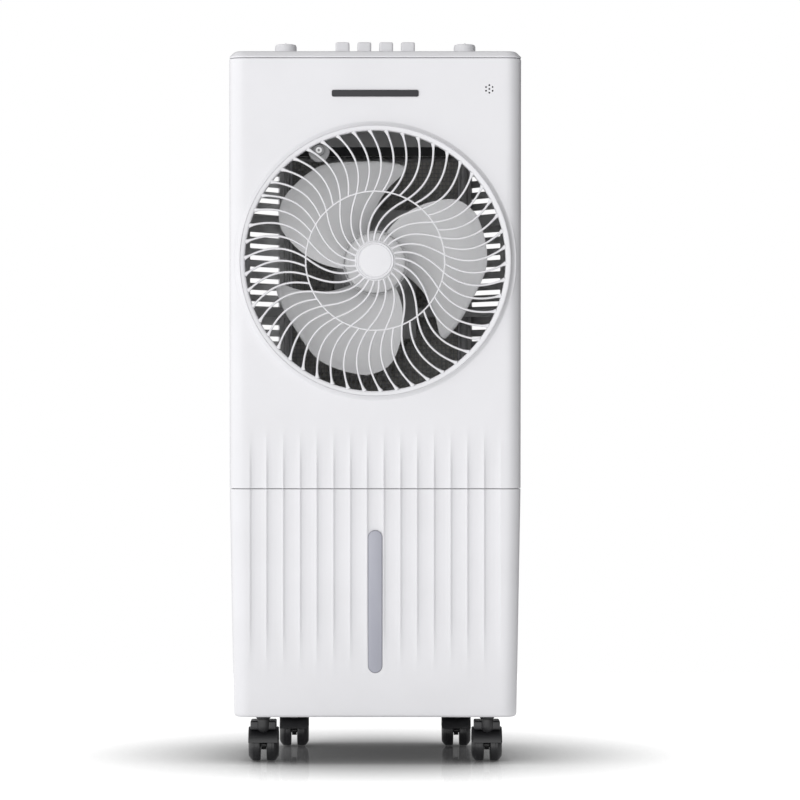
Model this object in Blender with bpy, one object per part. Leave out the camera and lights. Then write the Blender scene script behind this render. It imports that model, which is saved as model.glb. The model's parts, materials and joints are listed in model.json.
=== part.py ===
"""Evaporative air cooler on four twin-wheel casters.

Metres, +Z up. The front faces -Y, and the origin is on the floor under the middle of the cabinet.
Everything is modelled in world coordinates; a moving piece then gets its origin on its joint's axis.
"""

import math

import bmesh
import bpy
from mathutils import Matrix, Vector

# Cabinet
HALF_TOP = 0.155
HALF_SEAM = 0.1544
HALF_BASE = 0.150
FRONT_Y = -0.137
REAR_Y = 0.138
CORNER_RADIUS = 0.0165
SIDE_END = (0.1455, 0.062)
CHAMFER_END = (0.1071, 0.1325)
REAR_HALF = 0.099
WALL = 0.0025
GAP = 0.0003
BASE_Z = 0.050
SEAM_Z = 0.2917
SEAM_GAP = 0.0006
PANEL_TOP_Z = 0.748
LID_TOP_Z = 0.756
SPLIT_Y = -0.085
FAR = 0.5

# Air outlet, grille and fan
AXIS_Z = 0.5333
COLLAR_BORE = 0.143
COLLAR_FOOT = 0.152
COLLAR_FRONT = -0.144
RIM_INNER = 0.1379
RIM_OUTER = 0.1426
RING_RADIUS = 0.0735
RING_HALF = 0.0006
HUB_RADIUS = 0.020
RIB_WIDTH = 0.0021
RIB_COUNT = 50
FIRST_RIB = 91.1
GRILLE_FRONT = -0.1425
GRILLE_THICK = 0.003
FAN_RADIUS = 0.1165
FAN_HUB_RADIUS = 0.0347
FAN_HUB_FRONT = -0.079
FAN_HUB_BACK = -0.038
BLADE_MIDDLE_Y = -0.058
BLADE_THICK = 0.0024
BLADES = 3
BLADE_STEPS = 6
BLADE_ROOT = 0.0333
BLADE_START = 25.607
BLADE_SWEEP = 410
BLADE_LIFT = 0.0150
SHAFT_RADIUS = 0.004
MOTOR_RADIUS = 0.042
MOTOR_FRONT = -0.028
BRACKET_Y = 0.0305
BRACKET_THICK = 0.003
ROLLER_RADIUS = 0.006
ROLLER_ANGLE = 117.0

# Louvres in the rear corners
SLOT_PITCH = 0.01286
SLOT_HEIGHT = 0.0062
SLOT_MIDDLE_Z = 0.5320
SLOT_INNER_X = 0.1095
SLOT_OUTER_X = 0.1415
SLOTS_TO_BAR = 4

# Front panel details
SENSOR_X = 0.1208
SENSOR_Z = 0.7152
SENSOR_RING = 0.0040
SENSOR_HOLE = 0.0010
PLATE_HALF = 0.046
PLATE_Z = (0.7070, 0.7142)

# Rear cassette, distributor, hose and pump
PAD_HALF = 0.0925
CASSETTE_HALF = 0.0985
CASSETTE_LOW = 0.325
CASSETTE_HIGH = 0.700
OPENING_HALF = 0.0955
OPENING_LOW = 0.3345
OPENING_HIGH = 0.6545
OPENING_MARGIN = 0.0007
FRAME_Y = (0.1385, 0.1430)
PAD_Y = (0.0900, 0.1200)
SCREEN_Y = (0.1230, 0.1250)
PAD_TOP = 0.6525
BAR_ROWS = 10
BAR_COLUMNS = 3
BAR_WIDTH = 0.0065
DECK_Z = (0.2926, 0.2956)
TRAY_HALF = 0.094
TRAY_Y = (0.0880, 0.1180)
TRAY_Z = (0.6580, 0.6880)
TRAY_WALL = 0.002
HOSE_X = 0.0985
HOSE_Y = 0.0750
HOSE_RADIUS = 0.0045
PUMP_RADIUS = 0.024
PUMP_TOP = 0.128

# Controls
BUTTON_SIZE = 0.0153
BUTTON_PITCH = 0.0234
BUTTON_Y = -0.075
BUTTON_LOW = 0.7440
BUTTON_TOP = 0.770
STEM_HALF = 0.0025
BANK_HALF = (0.050, 0.012)
BANK_Z = (0.706, 0.730)
WELL_LOW = 0.719
KNOB_X = 0.096
KNOB_RADIUS = 0.012
KNOB_TOP = 0.7685
KNOB_SHAFT = 0.003
SHAFT_LOW = 0.7310
UNIT_Z = (0.7100, 0.7350, 0.7420)
UNIT_RADIUS = 0.0190
BUTTON_NAMES = ("button_off", "button_low", "button_mid", "button_high")

# Tank details
PLINTH = (0.035, 0.030)
PLINTH_LOW = 0.0470
WINDOW_HALF = 0.0077
WINDOW_LOW = 0.0970
WINDOW_HIGH = 0.2483
FLAP_LOW = 0.2430
FLAP_HIGH = 0.2870
FLAP_X = (-0.080, -0.004)
FLAP_Y = 0.1412
PORT_X = (-0.077, -0.007)
PORT_FACE = 0.1395
DRAIN_X = 0.055
DRAIN_Z = 0.070
DRAIN_BORE = 0.0063
DRAIN_BOSS = 0.0105
DRAIN_FACE = 0.1400
GLAND_X = 0.080
GLAND_Z = 0.309

# Casters
WHEEL_RADIUS = 0.017
WHEEL_HALF = 0.0161
WHEEL_GAP_HALF = 0.0032
TRAIL = 0.016
HOOD_TOP = 0.044
HOOD_HALF = 0.0138
BOSS_RADIUS = 0.0072
CASTERS = {
    "front_left": (-0.1193, -0.1050),
    "front_right": (0.1193, -0.1050),
    "rear_left": (-0.0903, 0.0710),
    "rear_right": (0.0903, 0.0710),
}

# Finish name: colour, roughness, metallic
FINISHES = {
    "white": ((0.87, 0.87, 0.88), 0.35, 0.0),
    "window": ((0.45, 0.46, 0.50), 0.20, 0.0),
    "light_grey": ((0.62, 0.62, 0.63), 0.40, 0.0),
    "dark_grey": ((0.10, 0.10, 0.11), 0.55, 0.0),
    "black": ((0.025, 0.025, 0.027), 0.45, 0.0),
    "pad": ((0.20, 0.16, 0.11), 0.95, 0.0),
    "steel": ((0.60, 0.60, 0.62), 0.30, 1.0),
    "rubber": ((0.03, 0.03, 0.03), 0.80, 0.0),
}


def finish_for(name, finish):
    """One Principled material for each object."""
    colour, roughness, metallic = FINISHES[finish]
    material = bpy.data.materials.new(name + "_" + finish)
    material.use_nodes = True
    shader = material.node_tree.nodes["Principled BSDF"]
    shader.inputs["Base Color"].default_value = (*colour, 1.0)
    shader.inputs["Roughness"].default_value = roughness
    shader.inputs["Metallic"].default_value = metallic
    return material


def object_from(name, bm, finish):
    """A linked object whose faces all point out."""
    bmesh.ops.recalc_face_normals(bm, faces=bm.faces)
    mesh = bpy.data.meshes.new(name)
    bm.to_mesh(mesh)
    bm.free()
    obj = bpy.data.objects.new(name, mesh)
    bpy.context.scene.collection.objects.link(obj)
    if finish:
        mesh.materials.append(finish_for(name, finish))
    return obj


def round_shading(obj):
    obj.data.shade_smooth()
    obj.data.set_sharp_from_angle(angle=math.radians(35))
    return obj


def add_loft(bm, rings):
    """A closed body through rings of equal length, with a flat cap on each end."""
    rows = [[bm.verts.new(point) for point in ring] for ring in rings]
    count = len(rows[0])
    for low, high in zip(rows, rows[1:]):
        for i in range(count):
            j = (i + 1) % count
            bm.faces.new((low[i], low[j], high[j], high[i]))
    bm.faces.new(rows[0][::-1])
    bm.faces.new(rows[-1])


def loft(name, rings, finish=None):
    bm = bmesh.new()
    add_loft(bm, rings)
    return object_from(name, bm, finish)


def along(axis, u, v, w):
    """The point (u, v) of an outline, at w along the axis that the outline is extruded on."""
    return {"X": (w, u, v), "Y": (u, w, v), "Z": (u, v, w)}[axis]


def prism(name, outline, low, high, axis="Z", finish=None):
    """An outline extruded along an axis: (x, y) for Z, (x, z) for Y and (y, z) for X."""
    rings = [[along(axis, u, v, w) for u, v in outline] for w in (low, high)]
    return loft(name, rings, finish)


def rectangle(u_low, u_high, v_low, v_high):
    return [(u_low, v_low), (u_high, v_low), (u_high, v_high), (u_low, v_high)]


def arc(centre, radius, start, end, steps):
    """Points on an arc, with angles in degrees, both ends included."""
    points = []
    for i in range(steps + 1):
        angle = math.radians(start + (end - start) * i / steps)
        points.append((centre[0] + radius * math.cos(angle), centre[1] + radius * math.sin(angle)))
    return points


def circle(centre, radius, steps):
    return arc(centre, radius, 0, 360, steps)[:-1]


def boxes(name, ranges, finish=None):
    """One mesh of several separate boxes, each given as (x low, x high, y low, y high, z low, z high)."""
    bm = bmesh.new()
    for x0, x1, y0, y1, z0, z1 in ranges:
        base = rectangle(x0, x1, y0, y1)
        add_loft(bm, [[(x, y, z) for x, y in base] for z in (z0, z1)])
    return object_from(name, bm, finish)


def box(name, x0, x1, y0, y1, z0, z1, finish=None, bevel=0.0):
    obj = boxes(name, [(x0, x1, y0, y1, z0, z1)], finish)
    if bevel:
        modifier = obj.modifiers.new("edge", "BEVEL")
        modifier.width = bevel
        modifier.segments = 1
    return obj


def turned(name, profile, centre, axis, steps, finish=None, ring=False):
    """A profile of (radius, place along the axis) turned about an axis through centre."""
    bm = bmesh.new()
    rows = []
    for radius, place in profile:
        if radius == 0:
            rows.append([bm.verts.new(along(axis, 0, 0, place))] * steps)
        else:
            points = circle((0, 0), radius, steps)
            rows.append([bm.verts.new(along(axis, u, v, place)) for u, v in points])
    pairs = list(zip(rows, rows[1:]))
    if ring:
        pairs.append((rows[-1], rows[0]))
    for low, high in pairs:
        for i in range(steps):
            j = (i + 1) % steps
            corners = list(dict.fromkeys((low[i], low[j], high[j], high[i])))
            bm.faces.new(corners)
    bmesh.ops.translate(bm, verts=bm.verts, vec=Vector(centre))
    return round_shading(object_from(name, bm, finish))


def combine(obj, other, operation):
    """Adds a Boolean with another object, which is then only a helper."""
    modifier = obj.modifiers.new(other.name, "BOOLEAN")
    modifier.operation = operation
    modifier.object = other
    other.hide_render = True
    other.display_type = "WIRE"
    return obj


def cut(obj, *cutters):
    for cutter in cutters:
        combine(obj, cutter, "DIFFERENCE")
    return obj


def weld(obj, *others):
    for other in others:
        combine(obj, other, "UNION")
    return obj


def pivot(name, point, pieces):
    """Parents pieces to an empty on their joint's axis, and moves their origins there."""
    empty = bpy.data.objects.new(name, None)
    bpy.context.scene.collection.objects.link(empty)
    empty.location = point
    for piece in pieces:
        piece.data.transform(Matrix.Translation(-Vector(point)))
        piece.parent = empty
    return empty


# Plan of the cabinet


def inset_loop(points, distance):
    """A convex counterclockwise loop moved inwards."""
    moved = []
    for i, point in enumerate(points):
        here = Vector(point)
        before = (here - Vector(points[i - 1])).normalized()
        after = (Vector(points[(i + 1) % len(points)]) - here).normalized()
        first = Vector((-before.y, before.x))
        second = Vector((-after.y, after.x))
        shift = (first + second) * (distance / (1 + first.dot(second)))
        moved.append(tuple(here + shift))
    return moved


def plan(half_width, inset=0.0):
    """The cabinet's outline seen from above, counterclockwise."""
    corner = (HALF_TOP - CORNER_RADIUS, FRONT_Y + CORNER_RADIUS)
    right = arc(corner, CORNER_RADIUS, -90, 0, 5)
    right += [SIDE_END, CHAMFER_END, (REAR_HALF, REAR_Y)]
    left = [(-x, y) for x, y in reversed(right)]
    scale = half_width / HALF_TOP
    return inset_loop([(x * scale, y) for x, y in right + left], inset)


def level(z, half_width, inset=0.0):
    return [(x, y, z) for x, y in plan(half_width, inset)]


# Cabinet shells


def water_tank():
    outer = [
        level(BASE_Z, HALF_BASE, 0.004),
        level(BASE_Z + 0.004, HALF_BASE),
        level(SEAM_Z, HALF_SEAM),
    ]
    tank = loft("water_tank", outer, "white")
    half_x, half_y = PLINTH
    plinth = box("tank_plinth", -half_x, half_x, -half_y, half_y, PLINTH_LOW, BASE_Z + 0.0015)
    left, right = PORT_X
    frame_z = (FLAP_LOW - 0.004, FLAP_HIGH + 0.003)
    port_frame = box("port_frame", left - 0.007, right + 0.007, PORT_FACE - 0.003, PORT_FACE, *frame_z)
    boss_back = PORT_FACE - 0.003
    boss_profile = [(0, boss_back), (DRAIN_BOSS, boss_back), (DRAIN_BOSS, DRAIN_FACE), (0, DRAIN_FACE)]
    drain_boss = turned("drain_boss", boss_profile, (DRAIN_X, 0, DRAIN_Z), "Y", 20)
    weld(tank, plinth, port_frame, drain_boss)
    inner = [level(BASE_Z + 0.003, HALF_BASE, WALL), level(SEAM_Z + 0.001, HALF_SEAM, WALL)]
    window = prism("window_hole", stadium(WINDOW_HALF), FRONT_Y - 0.01, FRONT_Y + 0.01, "Y")
    through = (REAR_Y - 0.018, REAR_Y + 0.012)
    port = box("port_hole", left, right, *through, FLAP_LOW + 0.005, FLAP_HIGH - 0.003)
    drain = prism("drain_hole", circle((DRAIN_X, DRAIN_Z), DRAIN_BORE, 20), *through, "Y")
    return cut(tank, loft("tank_hollow", inner), window, port, drain)


def stadium(half_width):
    """The level window's tall slot with round ends, in X and Z."""
    middle = (WINDOW_LOW + WINDOW_HIGH) / 2
    reach = (WINDOW_HIGH - WINDOW_LOW) / 2 - WINDOW_HALF
    top = arc((0, middle + reach), half_width, 0, 180, 8)
    bottom = arc((0, middle - reach), half_width, 180, 360, 8)
    return top + bottom


def level_window():
    outline = stadium(WINDOW_HALF - GAP)
    return prism("level_window", outline, FRONT_Y - 0.0005, FRONT_Y + WALL, "Y", "window")


def upper_shell(name):
    """The wall above the seam, before it is split into the front panel and the rear housing."""
    low, high = SEAM_Z + SEAM_GAP, PANEL_TOP_Z
    shell = loft(name, [level(low, HALF_SEAM), level(high, HALF_TOP)], "white")
    inner = [level(low - 0.001, HALF_SEAM, WALL), level(high + 0.001, HALF_TOP, WALL)]
    return cut(shell, loft(name + "_hollow", inner))


def front_panel():
    panel = upper_shell("front_panel")
    behind = box("panel_behind", -FAR, FAR, SPLIT_Y, FAR, 0, 1)
    through = (FRONT_Y - 0.013, FRONT_Y + 0.017)
    opening = prism("panel_opening", circle((0, AXIS_Z), COLLAR_BORE + 0.004, 64), *through, "Y")
    bm = bmesh.new()
    for place in [(SENSOR_X, SENSOR_Z)] + circle((SENSOR_X, SENSOR_Z), SENSOR_RING, 6):
        ring = circle(place, SENSOR_HOLE, 8)
        add_loft(bm, [[(x, y, z) for x, z in ring] for y in through])
    holes = object_from("sensor_holes", bm, None)
    cut(panel, behind, opening, holes)
    profile = [
        (COLLAR_BORE, -0.1255),
        (COLLAR_BORE, -0.1436),
        (0.1440, COLLAR_FRONT),
        (0.1453, -0.1438),
        (0.1490, -0.1395),
        (COLLAR_FOOT, -0.1360),
        (0.1500, -0.1255),
    ]
    return weld(panel, turned("collar", profile, (0, 0, AXIS_Z), "Y", 64, ring=True))


def corner_slots():
    """Slots across both chamfered corners: three groups of seven on each side."""
    start, end = Vector(SIDE_END), Vector(CHAMFER_END)
    run = (end - start).normalized()
    out = Vector((run.y, -run.x))
    inner = start + run * ((SLOT_INNER_X - start.x) / run.x)
    outer = start + run * ((SLOT_OUTER_X - start.x) / run.x)
    corners = [outer - out * 0.012, inner - out * 0.012, inner + out * 0.01, outer + out * 0.01]
    bm = bmesh.new()
    for place in range(-11, 12):
        if abs(place) == SLOTS_TO_BAR:
            continue
        z = SLOT_MIDDLE_Z + place * SLOT_PITCH
        for side in (1, -1):
            for_side = [(side * p.x, p.y) for p in corners]
            levels = (z - SLOT_HEIGHT / 2, z + SLOT_HEIGHT / 2)
            add_loft(bm, [[(x, y, w) for x, y in for_side] for w in levels])
    return object_from("corner_slots", bm, None)


def rear_housing():
    housing = upper_shell("rear_housing")
    before = box("housing_before", -FAR, FAR, -FAR, SPLIT_Y + 0.0004, 0, 1)
    opening = box(
        "cassette_opening", -OPENING_HALF, OPENING_HALF, 0.12, 0.15, OPENING_LOW, OPENING_HIGH
    )
    gland = prism("gland_hole", circle((GLAND_X, GLAND_Z), 0.0052, 16), 0.12, 0.15, "Y")
    return cut(housing, before, opening, gland, corner_slots())


def top_cover():
    outer = [
        level(PANEL_TOP_Z + 0.0004, HALF_TOP),
        level(PANEL_TOP_Z + 0.0018, HALF_TOP),
        level(LID_TOP_Z - 0.0012, HALF_TOP, 0.0065),
        level(LID_TOP_Z, HALF_TOP, 0.010),
    ]
    lid = loft("top_cover", outer, "white")
    weld(lid, box("rest_patch", -0.070, 0.070, -0.010, 0.095, 0.7550, LID_TOP_Z + 0.0004))
    hollow = [level(PANEL_TOP_Z - 0.001, HALF_TOP, 0.012), level(LID_TOP_Z - WALL, HALF_TOP, 0.014)]
    through = (PANEL_TOP_Z - 0.008, LID_TOP_Z + 0.024)
    half = BUTTON_SIZE / 2 + 0.0004
    holes = [(x - half, x + half, BUTTON_Y - half, BUTTON_Y + half, *through) for x in button_places()]
    stems = bmesh.new()
    for side in (-1, 1):
        ring = circle((side * KNOB_X, BUTTON_Y), KNOB_SHAFT * 1.5, 16)
        add_loft(stems, [[(x, y, z) for x, y in ring] for z in through])
    return cut(
        lid,
        loft("lid_hollow", hollow),
        boxes("button_holes", holes),
        object_from("knob_holes", stems, None),
    )


def mid_deck():
    outline = plan(HALF_SEAM, WALL + 0.0005)
    deck = prism("mid_deck", outline, *DECK_Z, "Z", "light_grey")
    hose = prism("deck_hose_hole", circle((HOSE_X, HOSE_Y), 0.007, 16), SEAM_Z - 0.01, SEAM_Z + 0.02)
    drain = box("deck_drain", -0.080, 0.080, PAD_Y[0], PAD_Y[1] + 0.005, SEAM_Z - 0.01, SEAM_Z + 0.02)
    return cut(deck, hose, drain)


def nameplate():
    thick = 0.0009
    front, back = FRONT_Y - GAP - thick, FRONT_Y - GAP
    return box("nameplate", -PLATE_HALF, PLATE_HALF, front, back, *PLATE_Z, "dark_grey", 0.0004)


# Controls


def button_places():
    return [(i - 1.5) * BUTTON_PITCH for i in range(4)]


def square_at(x, half):
    """The limits in X and Y of a square about one button's place."""
    return (x - half, x + half, BUTTON_Y - half, BUTTON_Y + half)


def push_buttons():
    """Each button is a cap with a stem that reaches into its well in the switch bank."""
    for name, x in zip(BUTTON_NAMES, button_places()):
        cap = box(name, *square_at(x, BUTTON_SIZE / 2), BUTTON_LOW, BUTTON_TOP, "white", 0.0012)
        stem_low = BANK_Z[1] - 0.0025
        weld(cap, box(name + "_stem", *square_at(x, STEM_HALF), stem_low, BUTTON_LOW + 0.002))
        pivot(name + "_slide", (x, BUTTON_Y, BUTTON_LOW), [cap])


def speed_switch_bank():
    half_x, half_y = BANK_HALF
    limits = (-half_x, half_x, BUTTON_Y - half_y, BUTTON_Y + half_y)
    bank = box("speed_switch_bank", *limits, *BANK_Z, "black")
    wells = [(*square_at(x, STEM_HALF + 0.0007), WELL_LOW, BUTTON_LOW) for x in button_places()]
    return cut(bank, boxes("switch_wells", wells))


def rotary_control(prefix, unit_name, x):
    """A knob on its shaft, over the unit that it works."""
    shaft_top = KNOB_TOP - 0.0042
    skirt = LID_TOP_Z + 0.0007
    bore = KNOB_SHAFT + 0.0004
    profile = [
        (0, KNOB_TOP),
        (KNOB_RADIUS - 0.0020, KNOB_TOP),
        (KNOB_RADIUS, KNOB_TOP - 0.0016),
        (KNOB_RADIUS, skirt),
        (bore, skirt),
        (bore, shaft_top),
        (0, shaft_top),
    ]
    knob = turned(prefix + "_knob", profile, (x, BUTTON_Y, 0), "Z", 28, "white")
    top = shaft_top - GAP
    shaft_profile = [(0, top), (KNOB_SHAFT, top), (KNOB_SHAFT, SHAFT_LOW), (0, SHAFT_LOW)]
    shaft = turned(prefix + "_shaft", shaft_profile, (x, BUTTON_Y, 0), "Z", 16, "steel")
    low, shoulder, neck = UNIT_Z
    unit_profile = [(0, neck), (0.0050, neck), (0.0050, shoulder), (UNIT_RADIUS, shoulder)]
    unit_profile += [(UNIT_RADIUS, low), (0, low)]
    unit = turned(unit_name, unit_profile, (x, BUTTON_Y, 0), "Z", 18, "black")
    cut(unit, prism(unit_name + "_bore", circle((x, BUTTON_Y), bore, 16), SHAFT_LOW - 0.0005, LID_TOP_Z))
    pivot(prefix + "_axis", (x, BUTTON_Y, LID_TOP_Z), [knob, shaft])


# Grille and fan


def rib_sweep(radius):
    """How far a rib has turned from where it crosses the middle ring, in degrees."""
    d = (radius - RING_RADIUS) * 1000
    if d < 0:
        d = -d
        return 0.5198 * d + 0.008284 * d**2 - 0.0001308 * d**3
    return -0.4045 * d + 0.009872 * d**2 - 0.00005096 * d**3


def rib_edge(angle, radius, side):
    """A point on one side of the rib whose ring crossing is at angle."""
    step = 0.0005
    slope = math.radians(rib_sweep(radius + step) - rib_sweep(radius - step)) / (2 * step)
    half = RIB_WIDTH / 2 * math.sqrt(1 + (radius * slope) ** 2) / radius
    turn = math.radians(angle + rib_sweep(radius)) + side * half
    return (radius * math.cos(turn), radius * math.sin(turn))


def grille_window(angle, pitch, inner, outer, steps):
    """The gap between the rib at angle and the next one, as a closed outline."""
    radii = [inner + (outer - inner) * i / steps for i in range(steps + 1)]
    right = [rib_edge(angle, r, 1) for r in radii]
    left = [rib_edge(angle + pitch, r, -1) for r in reversed(radii)]
    middle = math.radians(angle + pitch / 2 + rib_sweep(outer))
    return right + [(outer * math.cos(middle), outer * math.sin(middle))] + left


def add_spline(curve, points):
    spline = curve.splines.new("POLY")
    spline.points.add(len(points) - 1)
    for target, (x, y) in zip(spline.points, points):
        target.co = (x, y, 0, 1)
    spline.use_cyclic_u = True


def front_grille():
    """A flat disc with a window between every two ribs; half of the ribs stop at the middle ring."""
    curve = bpy.data.curves.new("front_grille", "CURVE")
    curve.dimensions = "2D"
    curve.fill_mode = "BOTH"
    curve.extrude = GRILLE_THICK / 2
    pitch = 360 / RIB_COUNT
    add_spline(curve, circle((0, 0), RIM_OUTER, 100))
    for i in range(RIB_COUNT):
        angle = FIRST_RIB + i * pitch
        add_spline(curve, grille_window(angle, pitch, RING_RADIUS + RING_HALF, RIM_INNER, 3))
    for i in range(RIB_COUNT // 2):
        angle = FIRST_RIB + 2 * i * pitch
        add_spline(curve, grille_window(angle, 2 * pitch, 0.0215, RING_RADIUS - RING_HALF, 4))
    grille = bpy.data.objects.new("front_grille", curve)
    bpy.context.scene.collection.objects.link(grille)
    curve.materials.append(finish_for("front_grille", "white"))
    grille.location = (0, GRILLE_FRONT + GRILLE_THICK / 2, 0)
    grille.rotation_euler = (math.pi / 2, 0, 0)
    rim_back = GRILLE_FRONT + GRILLE_THICK + GAP
    rim_profile = [
        (RIM_INNER, rim_back),
        (RIM_OUTER, rim_back),
        (RIM_OUTER, -0.1280),
        (RIM_INNER, -0.1280),
    ]
    rim = turned("grille_rim", rim_profile, (0, 0, AXIS_Z), "Y", 56, "white", ring=True)
    back = GRILLE_FRONT - GAP
    cap_profile = [
        (0, -0.1460),
        (0.0170, -0.1458),
        (0.0178, -0.1452),
        (0.0186, -0.1457),
        (0.0197, -0.1451),
        (HUB_RADIUS, back),
        (0, back),
    ]
    cap = turned("grille_cap", cap_profile, (0, 0, AXIS_Z), "Y", 30, "white")
    axis = pivot("grille_axis", (0, 0, AXIS_Z), [rim, cap])
    grille.parent = axis


def swing_drive():
    """A small motor whose rubber roller turns the grille by its rim."""
    reach = RIM_INNER - ROLLER_RADIUS - 0.0004
    angle = math.radians(ROLLER_ANGLE)
    x, z = reach * math.cos(angle), AXIS_Z + reach * math.sin(angle)
    roller_profile = [
        (0, -0.1370),
        (0.0050, -0.1370),
        (ROLLER_RADIUS, -0.1362),
        (ROLLER_RADIUS, -0.1296),
        (0.0050, -0.1288),
        (0.0015, -0.1288),
        (0.0015, -0.1250),
        (0, -0.1250),
    ]
    roller = turned("swing_roller", roller_profile, (x, 0, z), "Y", 16, "rubber")
    pivot("roller_axis", (x, -0.1330, z), [roller])
    can_profile = [(0, -0.1245), (0.0110, -0.1245), (0.0110, -0.1080), (0, -0.1080)]
    motor = turned("swing_motor", can_profile, (x, 0, z), "Y", 20, "dark_grey")
    ear = box("swing_motor_ear", x - 0.006, x + 0.006, -0.1225, -0.1185, z, z + 0.034)
    weld(motor, ear)


def blade_grid(turn, front):
    """One face of a blade: rows from the hub to the tip, each running across the blade."""
    stations = ((BLADE_ROOT, 45), (0.055, 45), (0.080, 45), (0.105, 45), (0.112, 43.5), (FAN_RADIUS, 38))
    rows = []
    for radius, half_angle in stations:
        middle = turn + BLADE_START - BLADE_SWEEP * (radius - BLADE_ROOT)
        lift = BLADE_LIFT - 0.03 * (radius - BLADE_ROOT)
        row = []
        for i in range(BLADE_STEPS + 1):
            share = 2 * i / BLADE_STEPS - 1
            angle = math.radians(middle + half_angle * share)
            y = BLADE_MIDDLE_Y - lift * share + 0.004 * share**2 + front * BLADE_THICK / 2
            row.append((radius * math.cos(angle), y, AXIS_Z + radius * math.sin(angle)))
        rows.append(row)
    return rows


def add_blade(bm, turn):
    front = [[bm.verts.new(p) for p in row] for row in blade_grid(turn, -1)]
    back = [[bm.verts.new(p) for p in row] for row in blade_grid(turn, 1)]
    last = len(front[0]) - 1
    for i in range(len(front) - 1):
        for j in range(last):
            for grid in (front, back):
                bm.faces.new((grid[i][j], grid[i + 1][j], grid[i + 1][j + 1], grid[i][j + 1]))
        for j in (0, last):
            bm.faces.new((front[i][j], front[i + 1][j], back[i + 1][j], back[i][j]))
    for i in (0, -1):
        for j in range(last):
            bm.faces.new((front[i][j], front[i][j + 1], back[i][j + 1], back[i][j]))


def fan_rotor():
    hub_profile = [
        (0.0043, FAN_HUB_FRONT),
        (0.0270, FAN_HUB_FRONT),
        (0.0325, FAN_HUB_FRONT + 0.0020),
        (FAN_HUB_RADIUS, FAN_HUB_FRONT + 0.0060),
        (FAN_HUB_RADIUS, FAN_HUB_BACK),
        (0.0325, FAN_HUB_BACK),
        (0.0325, FAN_HUB_FRONT + 0.0070),
        (0.0110, FAN_HUB_FRONT + 0.0030),
        (0.0110, -0.0600),
        (0.0043, -0.0600),
    ]
    fan = turned("fan_blades", hub_profile, (0, 0, AXIS_Z), "Y", 36, "light_grey", ring=True)
    bm = bmesh.new()
    for i in range(BLADES):
        add_blade(bm, i * 360 / BLADES)
    weld(fan, object_from("blade_set", bm, None))
    shaft_profile = [(0, -0.0860), (SHAFT_RADIUS, -0.0860), (SHAFT_RADIUS, -0.0085), (0, -0.0085)]
    shaft = turned("motor_shaft", shaft_profile, (0, 0, AXIS_Z), "Y", 24, "steel")
    nut_profile = [
        (0, -0.0900),
        (0.0060, -0.0895),
        (0.0115, -0.0870),
        (0.0130, -0.0830),
        (0.0130, FAN_HUB_FRONT - GAP),
        (0.0043, FAN_HUB_FRONT - GAP),
        (0.0043, -0.0864),
        (0, -0.0864),
    ]
    nut = turned("spinner_nut", nut_profile, (0, 0, AXIS_Z), "Y", 20, "light_grey")
    pivot("fan_axis", (0, BLADE_MIDDLE_Y, AXIS_Z), [fan, shaft, nut])


def fan_motor():
    profile = [
        (0, -0.0080),
        (0.0044, -0.0080),
        (0.0044, MOTOR_FRONT - 0.006),
        (0.0130, MOTOR_FRONT - 0.006),
        (0.0150, MOTOR_FRONT),
        (0.0370, MOTOR_FRONT),
        (MOTOR_RADIUS, MOTOR_FRONT + 0.006),
        (MOTOR_RADIUS, BRACKET_Y - 0.008),
        (0.0380, BRACKET_Y - GAP),
        (0, BRACKET_Y - GAP),
    ]
    return turned("fan_motor", profile, (0, 0, AXIS_Z), "Y", 24, "dark_grey")


def motor_bracket():
    """A pressed plate whose two cross arms reach the housing's sides at the solid bars of the louvres."""
    half, low, high = 0.045, -0.080, 0.062
    reach, arm_half = 0.1440, 0.005
    arms = (-0.0507, 0.0504)
    outline = [(-half, low), (half, low)]
    for arm in arms:
        outline += [(half, arm - arm_half), (reach, arm - arm_half)]
        outline += [(reach, arm + arm_half), (half, arm + arm_half)]
    outline += [(half, high), (-half, high)]
    for arm in reversed(arms):
        outline += [(-half, arm + arm_half), (-reach, arm + arm_half)]
        outline += [(-reach, arm - arm_half), (-half, arm - arm_half)]
    outline = [(x, AXIS_Z + z) for x, z in outline]
    back = BRACKET_Y + BRACKET_THICK
    bracket = prism("motor_bracket", outline, BRACKET_Y, back, "Y", "dark_grey")
    bm = bmesh.new()
    for number, (x, z) in enumerate(circle((0, AXIS_Z), 0.030, 4), 1):
        ring = circle((x, z), 0.0023, 12)
        add_loft(bm, [[(u, y, v) for u, v in ring] for y in (0.02, 0.05)])
        motor_screw(number, x, z, back)
    return cut(bracket, object_from("bracket_holes", bm, None))


def motor_screw(number, x, z, seat):
    profile = [
        (0, BRACKET_Y + 0.0002),
        (0.0019, BRACKET_Y + 0.0002),
        (0.0019, seat + GAP),
        (0.0042, seat + GAP),
        (0.0036, seat + 0.0026),
        (0, seat + 0.0030),
    ]
    return turned(f"motor_screw_{number}", profile, (x, 0, z), "Y", 12, "steel")


def motor_capacitor():
    front = BRACKET_Y + BRACKET_THICK + GAP
    low, high = AXIS_Z - 0.077, AXIS_Z - 0.049
    return box("motor_capacitor", -0.022, 0.022, front, front + 0.0182, low, high, "black", 0.001)


# Water circuit


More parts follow.
